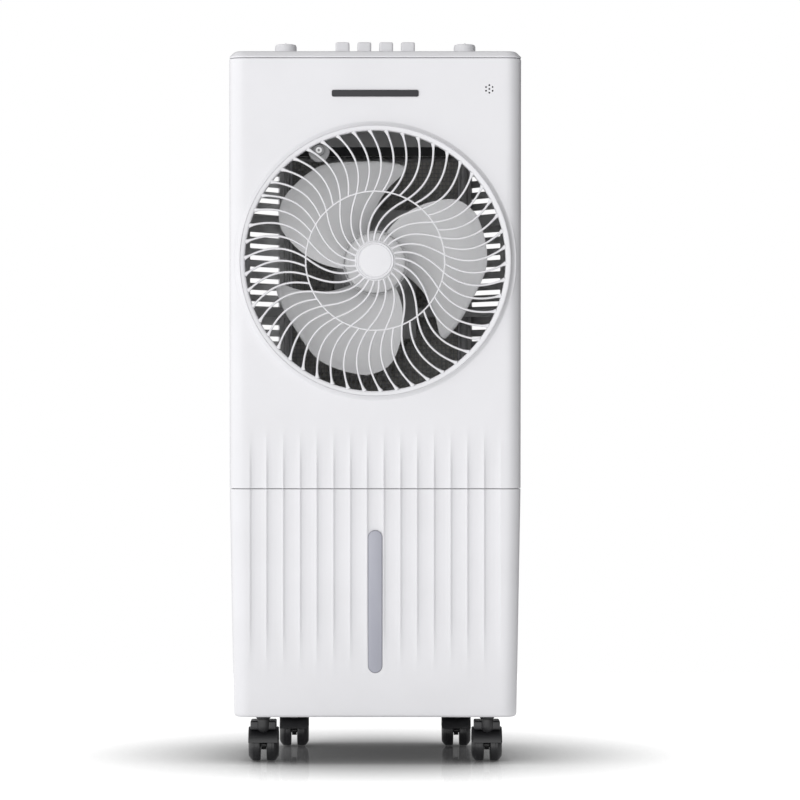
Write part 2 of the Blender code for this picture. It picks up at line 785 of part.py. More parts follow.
def cassette():
    """The rear frame with its pad and screen, which pulls out backwards."""
    front, back = FRAME_Y
    limits = (-CASSETTE_HALF, CASSETTE_HALF, front, back, CASSETTE_LOW, CASSETTE_HIGH)
    frame = box("cassette_frame", *limits, "white")
    low = OPENING_LOW + OPENING_MARGIN
    high = PAD_TOP + 0.0005
    inner, outer, floor = PAD_HALF + 0.0006, PAD_HALF + 0.0022, low + 0.0018
    tray = [(-outer, high), (-outer, low), (outer, low), (outer, high)]
    tray += [(inner, high), (inner, floor), (-inner, floor), (-inner, high)]
    weld(frame, prism("cassette_tray", tray, PAD_Y[0] - 0.004, front + 0.0015, "Y"))
    cut(frame, boxes("cassette_gaps", bar_gaps()))
    sides = (-PAD_HALF, PAD_HALF)
    pad = box("cooling_pad", *sides, *PAD_Y, low + 0.0022, PAD_TOP, "pad")
    screen = box("dust_screen", *sides, *SCREEN_Y, low + 0.0022, PAD_TOP, "dark_grey")
    handle_y = (back + GAP, back + 0.0028)
    pull = box("cassette_pull", -0.022, 0.022, *handle_y, 0.6700, 0.6840, "white", 0.0008)
    pivot("cassette_slide", (0, front, CASSETTE_LOW), [frame, pad, screen, pull])


def bar_gaps():
    """The gaps between the bars across the cassette's back."""
    pitch = (OPENING_HIGH - OPENING_LOW - 0.012) / BAR_ROWS
    width = (2 * PAD_HALF - 0.010) / BAR_COLUMNS
    gaps = []
    for row in range(BAR_ROWS):
        low = OPENING_LOW + 0.008 + row * pitch
        for column in range(BAR_COLUMNS):
            start = -PAD_HALF + 0.005 + column * width
            limits = (start + 0.002, start + width - 0.002, 0.13, 0.15)
            gaps.append((*limits, low, low + pitch - BAR_WIDTH))
    return gaps


def distributor_tray():
    (front, back), (low, high) = TRAY_Y, TRAY_Z
    tray = box("distributor_tray", -TRAY_HALF, TRAY_HALF, front, back, low, high, "dark_grey")
    half = TRAY_HALF - TRAY_WALL
    inside = (-half, half, front + TRAY_WALL, back - TRAY_WALL)
    trough = box("tray_trough", *inside, low + TRAY_WALL, high + 0.01)
    drips = []
    for place in range(-4, 5):
        x = place * 0.022
        drips.append((x - 0.002, x + 0.002, front + 0.012, front + 0.018, low - 0.01, low + 0.01))
    return cut(tray, trough, boxes("tray_drips", drips))


def smooth_route(points, spacing):
    """Points along a Catmull-Rom curve through the given ones."""
    ends = [points[0] * 2 - points[1], *points, points[-1] * 2 - points[-2]]
    route = []
    for a, b, c, d in zip(ends, ends[1:], ends[2:], ends[3:]):
        linear, square, cube = c - a, 2 * a - 5 * b + 4 * c - d, 3 * b - a - 3 * c + d
        steps = max(1, round((c - b).length / spacing))
        for i in range(steps):
            t = i / steps
            route.append(0.5 * (2 * b + linear * t + square * t**2 + cube * t**3))
    return route + [points[-1]]


def water_hose():
    """From the pump's outlet up through the deck, then over into the distributor's trough."""
    points = [Vector((HOSE_X, HOSE_Y, z)) for z in (PUMP_TOP + 0.0105, 0.25, 0.40, 0.55, 0.66)]
    points += [
        Vector((0.0975, 0.0780, 0.694)),
        Vector((0.0900, 0.0900, 0.713)),
        Vector((0.0820, 0.1020, 0.706)),
        Vector((0.0800, 0.1040, 0.680)),
    ]
    route = smooth_route(points, 0.026)
    curve = bpy.data.curves.new("water_hose", "CURVE")
    curve.dimensions = "3D"
    curve.bevel_depth = HOSE_RADIUS
    curve.bevel_resolution = 2
    curve.use_fill_caps = True
    spline = curve.splines.new("POLY")
    spline.points.add(len(route) - 1)
    for target, point in zip(spline.points, route):
        target.co = (*point, 1)
    hose = bpy.data.objects.new("water_hose", curve)
    bpy.context.scene.collection.objects.link(hose)
    curve.materials.append(finish_for("water_hose", "dark_grey"))
    return hose


def pump():
    centre = (HOSE_X, HOSE_Y, 0)
    profile = [
        (0, PUMP_TOP + 0.010),
        (0.0046, PUMP_TOP + 0.010),
        (0.0046, PUMP_TOP),
        (0.0200, PUMP_TOP),
        (PUMP_RADIUS, PUMP_TOP - 0.004),
        (PUMP_RADIUS, 0.0700),
        (0.0215, 0.0700),
        (0.0215, 0.0880),
        (0, 0.0880),
    ]
    turned("pump_body", profile, centre, "Z", 20, "black")
    impeller_profile = [
        (0, 0.0872),
        (0.0140, 0.0872),
        (0.0140, 0.0845),
        (0.0030, 0.0845),
        (0.0030, 0.0740),
        (0, 0.0740),
    ]
    impeller = turned("pump_impeller", impeller_profile, centre, "Z", 14, "white")
    x, y, _ = centre
    vanes = [(x - 0.0130, x + 0.0130, y - 0.0008, y + 0.0008, 0.0760, 0.0850)]
    cross = [(x - 0.0008, x + 0.0008, y - 0.0130, y + 0.0130, 0.0760, 0.0850)]
    weld(impeller, boxes("impeller_vanes", vanes), boxes("impeller_cross", cross))
    pivot("impeller_axis", (x, y, 0.0800), [impeller])
    strainer_profile = [
        (0, 0.0697),
        (0.0050, 0.0697),
        (0.0050, 0.0575),
        (0.0215, 0.0575),
        (0.0215, 0.0697),
        (PUMP_RADIUS, 0.0697),
        (PUMP_RADIUS, 0.0535),
        (0, 0.0535),
    ]
    strainer = turned("pump_strainer", strainer_profile, centre, "Z", 20, "black")
    gaps = [(x - 0.03, x + 0.03, y - 0.002, y + 0.002, 0.060, 0.0660)]
    return cut(strainer, boxes("strainer_gaps", gaps))


def fill_flap():
    half = 0.0013
    outline = arc((FLAP_Y, FLAP_LOW), half, 180, 360, 6)
    outline += [(FLAP_Y + half, FLAP_HIGH), (FLAP_Y - half, FLAP_HIGH)]
    flap = prism("fill_flap", outline, *FLAP_X, "X", "white")
    pivot("flap_hinge", (0, FLAP_Y, FLAP_LOW), [flap])


def drain_plug():
    profile = [
        (0, 0.1460),
        (0.0075, 0.1460),
        (0.0090, 0.1448),
        (0.0090, 0.1403),
        (0.0060, 0.1403),
        (0.0060, 0.1330),
        (0, 0.1330),
    ]
    plug = turned("drain_plug", profile, (DRAIN_X, 0, DRAIN_Z), "Y", 18, "light_grey")
    pivot("plug_slide", (DRAIN_X, 0.1403, DRAIN_Z), [plug])


def cord_gland():
    profile = [
        (0.0028, 0.1455),
        (0.0050, 0.1455),
        (0.0070, 0.1384),
        (0.0048, 0.1384),
        (0.0048, 0.1320),
        (0.0028, 0.1320),
    ]
    return turned("cord_gland", profile, (GLAND_X, 0, GLAND_Z), "Y", 14, "black", ring=True)


# Casters


def caster(place, stem):
    """Socket under the tank, swivelling hood with its stem, and two wheels on one axle behind it."""
    x, y = stem
    socket_profile = [(0.0045, 0.0497), (0.0130, 0.0497), (0.0115, 0.0448), (0.0045, 0.0448)]
    turned("caster_socket_" + place, socket_profile, (x, y, 0), "Z", 16, "black", ring=True)

    axle = (y + TRAIL, WHEEL_RADIUS)
    fender = arc(axle, 0.0195, 182, 15, 9) + arc(axle, 0.0179, 15, 182, 9)
    hood = prism("caster_hood_" + place, fender, x - WHEEL_HALF, x + WHEEL_HALF, "X", "black")
    web = arc(axle, 0.0187, 175, 25, 7) + arc(axle, 0.0050, 25, -185, 6)
    fin = prism("caster_web_" + place, web, x - 0.0026, x + 0.0026, "X")
    crown = box(
        "caster_crown_" + place, x - HOOD_HALF, x + HOOD_HALF, y - 0.0035, y + 0.0280, 0.0356, HOOD_TOP
    )
    stem_profile = [
        (0, 0.0490),
        (0.0040, 0.0490),
        (0.0040, 0.0420),
        (BOSS_RADIUS, 0.0420),
        (BOSS_RADIUS, 0.0335),
        (0.0045, 0.0314),
        (0, 0.0314),
    ]
    boss = turned("caster_stem_" + place, stem_profile, (x, y, 0), "Z", 14)
    weld(hood, fin, crown, boss)
    wheel_space = prism("caster_space_" + place, circle(axle, 0.0177, 20), x + 0.0026, x + 0.02, "X")
    other_space = prism("caster_room_" + place, circle(axle, 0.0177, 20), x - 0.02, x - 0.0026, "X")
    axle_hole = prism("caster_bore_" + place, circle(axle, 0.00258, 12), x - 0.01, x + 0.01, "X")
    cut(hood, wheel_space, other_space, axle_hole)
    pivot("swivel_" + place, (x, y, 0.0450), [hood])

    half = [
        (0.0150, WHEEL_HALF),
        (WHEEL_RADIUS, WHEEL_HALF - 0.0022),
        (WHEEL_RADIUS, WHEEL_GAP_HALF + 0.0016),
        (WHEEL_RADIUS - 0.0014, WHEEL_GAP_HALF),
        (0.0024, WHEEL_GAP_HALF),
    ]
    ends = [(0, half[0][1])]
    profile = ends + half + [(r, -w) for r, w in reversed(half)] + [(0, -half[0][1])]
    wheels = turned("caster_wheels_" + place, profile, (x, *axle), "X", 24, "black")
    pivot("axle_" + place, (x, *axle), [wheels])


def main():
    for obj in list(bpy.data.objects):
        bpy.data.objects.remove(obj)
    water_tank()
    level_window()
    front_panel()
    rear_housing()
    top_cover()
    mid_deck()
    nameplate()
    push_buttons()
    speed_switch_bank()
    rotary_control("timer", "timer_unit", -KNOB_X)
    rotary_control("function", "function_switch", KNOB_X)
    front_grille()
    swing_drive()
    fan_rotor()
    fan_motor()
    motor_bracket()
    motor_capacitor()
    cassette()
    distributor_tray()
    water_hose()
    pump()
    fill_flap()
    drain_plug()
    cord_gland()
    for place, stem in CASTERS.items():
        caster(place, stem)


main()
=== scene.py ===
import json
import math

import bmesh
import bpy
from mathutils import Matrix, Vector


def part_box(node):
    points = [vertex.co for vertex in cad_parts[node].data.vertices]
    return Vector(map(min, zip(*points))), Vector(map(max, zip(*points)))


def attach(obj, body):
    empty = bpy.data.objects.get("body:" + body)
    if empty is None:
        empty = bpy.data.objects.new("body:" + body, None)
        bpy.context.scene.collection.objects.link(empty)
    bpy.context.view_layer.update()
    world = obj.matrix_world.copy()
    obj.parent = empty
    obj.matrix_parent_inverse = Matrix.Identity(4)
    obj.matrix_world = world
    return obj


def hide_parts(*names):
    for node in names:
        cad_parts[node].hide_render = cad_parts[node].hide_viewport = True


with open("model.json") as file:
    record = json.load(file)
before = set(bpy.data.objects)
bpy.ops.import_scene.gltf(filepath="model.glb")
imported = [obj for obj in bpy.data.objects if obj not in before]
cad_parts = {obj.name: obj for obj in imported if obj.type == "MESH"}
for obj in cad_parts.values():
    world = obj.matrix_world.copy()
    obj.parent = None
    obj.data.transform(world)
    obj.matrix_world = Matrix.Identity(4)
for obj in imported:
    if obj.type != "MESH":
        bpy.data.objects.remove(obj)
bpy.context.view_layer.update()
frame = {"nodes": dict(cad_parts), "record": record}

scene = bpy.context.scene

# Places that several pieces share, read from the frame
tankLow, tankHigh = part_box("water_tank")
panelLow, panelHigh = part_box("front_panel")
lidLow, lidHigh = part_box("top_cover")
rimLow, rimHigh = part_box("grille_rim")
capLow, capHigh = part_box("grille_cap")
hubAxis = (capLow + capHigh) / 2  # the grille's and the fan's common axis, along Y
frontY = tankLow.y
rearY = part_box("rear_housing")[1].y
print("frame loaded:", len(frame["nodes"]), "nodes")


# Mesh helpers


def fromBmesh(name, bm, sharp=30):
    bmesh.ops.recalc_face_normals(bm, faces=bm.faces)
    mesh = bpy.data.meshes.new(name)
    bm.to_mesh(mesh)
    bm.free()
    piece = bpy.data.objects.new(name, mesh)
    scene.collection.objects.link(piece)
    mesh.shade_smooth()
    mesh.set_sharp_from_angle(angle=math.radians(sharp))
    return piece


def addRings(bm, rings, capped=True, closed=False):
    # skins rings of equal length, with caps on the ends or the last joined to the first
    rows = [[bm.verts.new(p) for p in ring] for ring in rings]
    pairs = list(zip(rows, rows[1:]))
    if closed:
        pairs.append((rows[-1], rows[0]))
    count = len(rows[0])
    for low, high in pairs:
        for i in range(count):
            j = (i + 1) % count
            bm.faces.new((low[i], low[j], high[j], high[i]))
    if capped and not closed:
        bm.faces.new(rows[0][::-1])
        bm.faces.new(rows[-1])


def onAxis(axis, u, v, w):
    return {"X": (w, u, v), "Y": (u, w, v), "Z": (u, v, w)}[axis]


def directions(angle):
    # a unit vector and the one square to it
    return Vector((math.cos(angle), math.sin(angle))), Vector((-math.sin(angle), math.cos(angle)))


def pin(radius, low, high, inward, along):
    # a rod's profile with both ends chamfered
    ends = [(0, low), (radius - inward, low), (radius, low + along)]
    return ends + [(radius, high - along), (radius - inward, high), (0, high)]


def arcPoints(centre, radius, start, end, steps):
    made = []
    for i in range(steps + 1):
        a = math.radians(start + (end - start) * i / steps)
        made.append((centre[0] + radius * math.cos(a), centre[1] + radius * math.sin(a)))
    return made


def rounded(outline, radius, steps=4, closed=True):
    # an outline with its corners turned into arcs, each no larger than its sides allow
    made = []
    for i, corner in enumerate(outline):
        if not closed and i in (0, len(outline) - 1):
            made.append(corner)
            continue
        here = Vector(corner)
        before = Vector(outline[i - 1]) - here
        after = Vector(outline[(i + 1) % len(outline)]) - here
        angle = before.angle(after)
        if angle > math.radians(172):
            made.append(corner)
            continue
        reach = min(radius / math.tan(angle / 2), before.length * 0.45, after.length * 0.45)
        start, end = here + before.normalized() * reach, here + after.normalized() * reach
        for k in range(steps + 1):
            t = k / steps
            p = start * (1 - t) ** 2 + here * 2 * t * (1 - t) + end * t**2
            made.append((p.x, p.y))
    return made


def addPrism(bm, outline, low, high, axis="Z"):
    addRings(bm, [[onAxis(axis, u, v, w) for u, v in outline] for w in (low, high)])


def skin(name, rings, sharp=30):
    bm = bmesh.new()
    addRings(bm, rings)
    return fromBmesh(name, bm, sharp)


def prism(name, outline, low, high, axis="Z", bevel=0.0, segments=2):
    bm = bmesh.new()
    addPrism(bm, outline, low, high, axis)
    piece = fromBmesh(name, bm)
    return soften(piece, bevel, segments) if bevel else piece


def soften(piece, width, segments=2, limit=40):
    bevel = piece.modifiers.new("edge", "BEVEL")
    bevel.width = width
    bevel.segments = segments
    bevel.limit_method = "ANGLE"
    bevel.angle_limit = math.radians(limit)
    bevel.harden_normals = False
    return applyAll(piece)


def block(name, low, high, bevel=0.0, segments=2):
    outline = [(low[0], low[1]), (high[0], low[1]), (high[0], high[1]), (low[0], high[1])]
    return prism(name, outline, low[2], high[2], "Z", bevel, segments)


def turned(name, profile, centre, axis, steps=96, ring=False, sharp=32):
    # a profile of (radius, place along the axis); radius 0 closes it on the axis
    bm = bmesh.new()
    rows = []
    for radius, place in profile:
        if radius == 0:
            rows.append([bm.verts.new(onAxis(axis, 0, 0, place))] * steps)
        else:
            rows.append(
                [
                    bm.verts.new(onAxis(axis, u, v, place))
                    for u, v in arcPoints((0, 0), radius, 0, 360, steps)[:-1]
                ]
            )
    pairs = list(zip(rows, rows[1:]))
    if ring:
        pairs.append((rows[-1], rows[0]))
    for low, high in pairs:
        for i in range(steps):
            j = (i + 1) % steps
            corners = list(dict.fromkeys((low[i], low[j], high[j], high[i])))
            if len(corners) > 2:
                bm.faces.new(corners)
    bmesh.ops.translate(bm, verts=bm.verts, vec=Vector(centre))
    return fromBmesh(name, bm, sharp)


def boolean(piece, other, operation="DIFFERENCE", solver="EXACT"):
    modifier = piece.modifiers.new(other.name, "BOOLEAN")
    modifier.operation = operation
    modifier.object = other
    modifier.solver = solver
    applyAll(piece)
    bpy.data.objects.remove(other)
    return piece


def drill(piece, radius, start, end, centre, axis, steps=32):
    # a round hole along an axis, from start to end
    bore = [(0, start), (radius, start), (radius, end), (0, end)]
    return boolean(piece, turned("bore", bore, centre, axis, steps))


def notched(piece, count, centre, reach, radius, low, high, steps):
    # a ring of round notches along Y
    bm = bmesh.new()
    for i in range(count):
        a = 2 * math.pi * i / count
        place = (centre[0] + reach * math.cos(a), centre[1] + reach * math.sin(a))
        addPrism(bm, arcPoints(place, radius, 0, 360, steps)[:-1], low, high, "Y")
    return boolean(piece, fromBmesh("notches", bm))


def applyAll(piece):
    graph = bpy.context.evaluated_depsgraph_get()
    mesh = bpy.data.meshes.new_from_object(
        piece.evaluated_get(graph), preserve_all_data_layers=True, depsgraph=graph
    )
    old = piece.data
    piece.modifiers.clear()
    piece.data = mesh
    mesh.name = piece.name
    bpy.data.meshes.remove(old)
    return piece


def reshade(piece, sharp=30):
    piece.data.shade_smooth()
    piece.data.set_sharp_from_angle(angle=math.radians(sharp))
    return piece


def join(name, pieces):
    # several closed bodies in one piece
    bm = bmesh.new()
    for piece in pieces:
        applyAll(piece)
        bm.from_mesh(piece.data)
        bpy.data.objects.remove(piece)
    return fromBmesh(name, bm)


def middleOf(node):
    low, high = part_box(node)
    return (low + high) / 2


def smoothStep(t):
    t = max(0.0, min(1.0, t))
    return t * t * (3 - 2 * t)


# Finishes, by the record's slots

finishes = {
    "white_plastic": {
        "light": (0.672, 0.670, 0.692),
        "deep": (0.650, 0.648, 0.668),
        "rough": (0.30, 0.40),
        "grain": 1400,
        "bump": 0.035,
    },
    "light_grey_plastic": {
        "light": (0.66, 0.66, 0.67),
        "deep": (0.61, 0.61, 0.62),
        "rough": (0.32, 0.45),
        "grain": 900,
        "bump": 0.05,
    },
    "level_window": {
        "light": (0.33, 0.335, 0.385),
        "deep": (0.305, 0.31, 0.36),
        "rough": (0.10, 0.16),
        "grain": 500,
        "bump": 0.02,
    },
    "dark_grey_plastic": {
        "light": (0.360, 0.360, 0.368),
        "deep": (0.305, 0.305, 0.312),
        "rough": (0.40, 0.60),
        "grain": 700,
        "bump": 0.12,
    },
    "black_plastic": {
        "light": (0.016, 0.016, 0.018),
        "deep": (0.009, 0.009, 0.010),
        "rough": (0.28, 0.46),
        "grain": 900,
        "bump": 0.08,
    },
    "steel": {
        "light": (0.62, 0.61, 0.60),
        "deep": (0.48, 0.48, 0.47),
        "rough": (0.22, 0.40),
        "grain": 1200,
        "bump": 0.05,
        "metal": 1.0,
    },
    "rubber": {
        "light": (0.20, 0.20, 0.205),
        "deep": (0.15, 0.15, 0.153),
        "rough": (0.70, 0.90),
        "grain": 600,
        "bump": 0.25,
    },
    "cooling_pad": {
        "light": (0.58, 0.57, 0.55),
        "deep": (0.46, 0.45, 0.43),
        "rough": (0.85, 0.98),
        "grain": 350,
        "bump": 0.5,
    },
}


texture = {"cloud": 18, "cloudDetail": 5, "grainDetail": 3, "from": 0.3, "to": 0.7, "bump": 0.0004}


def addNode(tree, kind, values=None, **settings):
    made = tree.nodes.new("ShaderNode" + kind)
    for name, value in settings.items():
        setattr(made, name, value)
    for name, value in (values or {}).items():
        made.inputs[name].default_value = value
    return made


def newMaterial(name):
    material = bpy.data.materials.new(name)
    material.use_nodes = True
    return material, material.node_tree, material.node_tree.nodes["Principled BSDF"]


def makeFinish(name, look):
    material, tree, shader = newMaterial(name)
    shader.inputs["Metallic"].default_value = look.get("metal", 0.0)
    place = addNode(tree, "TexCoord")
    cloud = addNode(tree, "TexNoise", {"Scale": texture["cloud"], "Detail": texture["cloudDetail"]})
    grain = addNode(tree, "TexNoise", {"Scale": look["grain"], "Detail": texture["grainDetail"]})
    tone = addNode(tree, "ValToRGB")
    deep, light = tone.color_ramp.elements
    deep.position, light.position = texture["from"], texture["to"]
    deep.color, light.color = (*look["deep"], 1), (*look["light"], 1)
    gloss = addNode(tree, "MapRange", {"To Min": look["rough"][0], "To Max": look["rough"][1]})
    bump = addNode(tree, "Bump", {"Strength": look["bump"], "Distance": texture["bump"]})
    tree.links.new(place.outputs["Object"], cloud.inputs["Vector"])
    tree.links.new(place.outputs["Object"], grain.inputs["Vector"])
    tree.links.new(cloud.outputs["Fac"], tone.inputs["Fac"])
    tree.links.new(tone.outputs["Color"], shader.inputs["Base Color"])
    tree.links.new(cloud.outputs["Fac"], gloss.inputs["Value"])
    tree.links.new(gloss.outputs["Result"], shader.inputs["Roughness"])
    tree.links.new(grain.outputs["Fac"], bump.inputs["Height"])
    tree.links.new(bump.outputs["Normal"], shader.inputs["Normal"])
    return material


materials = {name: makeFinish(name, look) for name, look in finishes.items()}
# a grey for the inside, matched to how the inside is lit: painted shade on the white walls' inner faces
# and rails, painted light on the dark grey tray
paintedInsideLook = dict(finishes["dark_grey_plastic"], light=(0.62, 0.62, 0.625), deep=(0.56, 0.56, 0.565))
paintedInsideFinish = makeFinish("painted_inside_shade_and_light", paintedInsideLook)
# near black: the nameplate's and dial marks' own colour, and painted shade in the distributor comb
plateAndShadeLook = dict(
    finishes["dark_grey_plastic"], light=(0.014, 0.0145, 0.018), deep=(0.010, 0.0105, 0.013)
)
plateAndShadeFinish = makeFinish("plate_grey_and_painted_shade", plateAndShadeLook)


def settle(piece, body, slotName, *nodes, finish=None):
    # material, body, record slot and the nodes that the piece stands for
    if not piece.data.materials:
        piece.data.materials.append(finish or materials[slotName])
    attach(piece, body)
    if nodes:
        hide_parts(*nodes)
    return piece


for subpart in frame["record"]["subparts"]:
    data = frame["nodes"][subpart["node"]].data
    data.materials.clear()
    data.materials.append(materials[subpart["material_slot"]])
print("finishes made:", len(materials))


# Camera, light and floor

studio = {
    "distance": 4.0,  # from the cabinet's front to the lens
    "height": 0.386,
    "focal": 170.1,
    "shift": 0.031,
    "left": 1.62,  # light from each side
    "right": 0.04,
    "above": 0.60,
    "front": 1.20,
    "behind": 0.12,
    "backFrom": 0.3,
    "coneTo": -0.5,
    "floor": ((-3.0, 0.62), (-5.0, 1.2)),
    # the floor's glow, which ambient occlusion dims into a painted shadow
    "glow": 1.04,
    "floorGrey": 0.28,
    "floorRough": 0.04,
    "floorSheen": 0.16,
    "floorGrain": 40,
    "floorBump": 0.01,
    "shadowReach": 0.24,
    "shadowPower": 2.5,
}


def makeCamera():
    camera = bpy.data.objects.new("camera", bpy.data.cameras.new("camera"))
    scene.collection.objects.link(camera)
    camera.location = (0, frontY - studio["distance"], studio["height"])
    camera.rotation_euler = (math.pi / 2, 0, 0)
    camera.data.lens = studio["focal"]
    camera.data.shift_x = studio["shift"]
    camera.data.clip_end = 60
    scene.camera = camera
    scene.view_settings.view_transform = "Standard"


def makeLight():
    # strongest from the left, less from above and behind, with a cone from the front
    world = bpy.data.worlds.new("studio")
    world.use_nodes = True
    scene.world = world
    tree = world.node_tree
    place = addNode(tree, "TexCoord")
    split = addNode(tree, "SeparateXYZ")
    smooth = {"interpolation_type": "SMOOTHSTEP"}
    sides = {"From Min": -1, "To Min": studio["left"], "To Max": studio["right"]}
    across = addNode(tree, "MapRange", sides, **smooth)
    upward = addNode(tree, "MapRange", {"To Min": 1, "To Max": studio["above"]})
    depths = {"From Min": studio["backFrom"], "To Min": 1, "To Max": studio["behind"]}
    backward = addNode(tree, "MapRange", depths)
    cone = {"From Min": -1.0, "From Max": studio["coneTo"], "To Min": studio["front"], "To Max": 0}
    forward = addNode(tree, "MapRange", cone, **smooth)
    product = addNode(tree, "Math", operation="MULTIPLY")
    dimmed = addNode(tree, "Math", operation="MULTIPLY")
    total = addNode(tree, "Math")
    lit = tree.nodes["Background"]
    lit.inputs["Color"].default_value = (1, 1, 1, 1)
    seen = addNode(tree, "Background", {"Color": (1, 1, 1, 1), "Strength": 1.0})
    path = addNode(tree, "LightPath")
    mix = addNode(tree, "MixShader")
    wires = [(place.outputs["Generated"], split.inputs["Vector"])]
    for axis, ranged in (("X", across), ("Z", upward), ("Y", forward), ("Y", backward)):
        wires.append((split.outputs[axis], ranged.inputs["Value"]))
    for first, second, joined in (
        (across, upward, product), (product, backward, dimmed), (dimmed, forward, total)
    ):
        wires.append((first.outputs[0], joined.inputs[0]))
        wires.append((second.outputs[0], joined.inputs[1]))
    wires.append((total.outputs["Value"], lit.inputs["Strength"]))
    wires.append((path.outputs["Is Camera Ray"], mix.inputs["Fac"]))
    wires.append((lit.outputs["Background"], mix.inputs[1]))
    wires.append((seen.outputs["Background"], mix.inputs[2]))
    wires.append((mix.outputs["Shader"], tree.nodes["World Output"].inputs["Surface"]))
    for start, end in wires:
        tree.links.new(start, end)


def makeFloor():
    bm = bmesh.new()
    (left, right), (near, far) = studio["floor"]
    corners = [(left, near), (right, near), (right, far), (left, far)]
    bm.faces.new([bm.verts.new((x, y, -0.0005)) for x, y in corners])
    floor = fromBmesh("floor", bm)
    floor.data.materials.append(floorFinish())


def floorFinish():
    # pale and a little glossy: a dark grey base under a white glow, brighter where it lies open; the
    # glow fades with ambient occlusion, a painted shadow under and beside the cooler
    material, tree, shader = newMaterial("floor")
    shader.inputs["Base Color"].default_value = (*[studio["floorGrey"]] * 3, 1)
    shader.inputs["Roughness"].default_value = studio["floorRough"]
    shader.inputs["Specular IOR Level"].default_value = studio["floorSheen"]
    shader.inputs["Emission Color"].default_value = (1, 1, 1, 1)
    occlusionShadow = addNode(tree, "AmbientOcclusion", {"Distance": studio["shadowReach"]})
    steeper = addNode(tree, "Math", {1: studio["shadowPower"]}, operation="POWER")
    glow = addNode(tree, "Math", {1: studio["glow"]}, operation="MULTIPLY")
    grain = addNode(tree, "TexNoise", {"Scale": studio["floorGrain"]})
    bump = addNode(tree, "Bump", {"Strength": studio["floorBump"]})
    tree.links.new(occlusionShadow.outputs["AO"], steeper.inputs[0])
    tree.links.new(steeper.outputs["Value"], glow.inputs[0])
    tree.links.new(glow.outputs["Value"], shader.inputs["Emission Strength"])
    tree.links.new(grain.outputs["Fac"], bump.inputs["Height"])
    tree.links.new(bump.outputs["Normal"], shader.inputs["Normal"])
    return material


makeCamera()
makeLight()
makeFloor()
print("studio made")


# Cabinet walls

cabinet = {
    "corner": 0.0165,  # front corner radius
    "cornerSteps": 12,
    "wall": 0.0025,
    "sideEnd": (0.1455, 0.062),
    "chamferEnd": (0.1071, 0.1325),
    "rearHalf": 0.099,
    "split": -0.085,  # where the front panel meets the rear housing
    "fluteWidth": 0.01772,
    "fluteCount": 15,
    "fluteSteps": 8,
    "fluteDepth": 0.0023,
    "fluteTop": (0.368, 0.300),  # where the flutes start, and where they are deepest
    "fluteBottom": (0.084, 0.170),
    "hole": (0.0955, 0.3345, 0.6545),  # for the cassette: half width, bottom and top
}
halfTop = panelHigh.x
halfSeam = tankHigh.x
halfBase = 0.150


def halfAt(z):
    if z >= tankHigh.z:
        return halfSeam + (halfTop - halfSeam) * (z - tankHigh.z) / (panelHigh.z - tankHigh.z)
    return halfBase + (halfSeam - halfBase) * (z - tankFloor) / (tankHigh.z - tankFloor)


tankFloor = 0.050


def planPoints(half, inset=0.0, dense=True):
    # counterclockwise from above, from the middle of the front round to it again
    c = cabinet
    radius = c["corner"] - inset
    centre = (half - c["corner"], frontY + c["corner"])
    edge = c["fluteCount"] * c["fluteWidth"] / 2
    count = c["fluteCount"] * c["fluteSteps"] // 2 if dense else 1
    front = [(edge * i / count, frontY + inset) for i in range(count + 1)]
    corner = arcPoints(centre, radius, -90, 0, c["cornerSteps"])
    scale = half / halfTop
    side = Vector((c["sideEnd"][0] * scale, c["sideEnd"][1]))
    chamfer = Vector((c["chamferEnd"][0] * scale, c["chamferEnd"][1]))
    rear = Vector((c["rearHalf"] * scale, rearY))
    bends = [Vector(corner[-1]) + Vector((inset, 0)), side, chamfer, rear, Vector((-rear.x, rearY))]
    moved = []
    for before, here, after in zip(bends, bends[1:], bends[2:]):
        a, b = (here - before).normalized(), (after - here).normalized()
        first, second = Vector((-a.y, a.x)), Vector((-b.y, b.x))
        moved.append(tuple(here + (first + second) * inset / (1 + first.dot(second))))
    straight = []
    last = corner[-1]
    for i in range(1, 4):
        straight.append(
            (last[0] + (moved[0][0] - last[0]) * i / 4, last[1] + (moved[0][1] - last[1]) * i / 4)
        )
    bent = rounded([straight[-1], *moved, (0, rearY - inset)], 0.006, 4, closed=False)
    right = front[1:] + corner + straight + bent[1:-1]
    left = [(-x, y) for x, y in reversed(right)]
    return [(0, frontY + inset)] + right + [(0, rearY - inset)] + left


def fluteAt(x, z):
    c = cabinet
    top, bottom = c["fluteTop"], c["fluteBottom"]
    fade = smoothStep((top[0] - z) / (top[0] - top[1]))
    fade *= smoothStep((z - bottom[0]) / (bottom[1] - bottom[0]))
    if abs(x) > c["fluteCount"] * c["fluteWidth"] / 2 or fade <= 0:
        return 0.0
    u = x / c["fluteWidth"]
    u = 2 * (u - round(u))
    return c["fluteDepth"] * fade * (1 - abs(u) ** 3.2)


def wallRows(levels, inset=0.0, flutes=True):
    rows = []
    for z, extra in levels:
        row = []
        for x, y in planPoints(halfAt(z), inset + extra):
            if flutes and abs(y - frontY - inset - extra) < 1e-6:
                y += fluteAt(x, z)
            row.append((x, y, z))
        rows.append(row)
    return rows


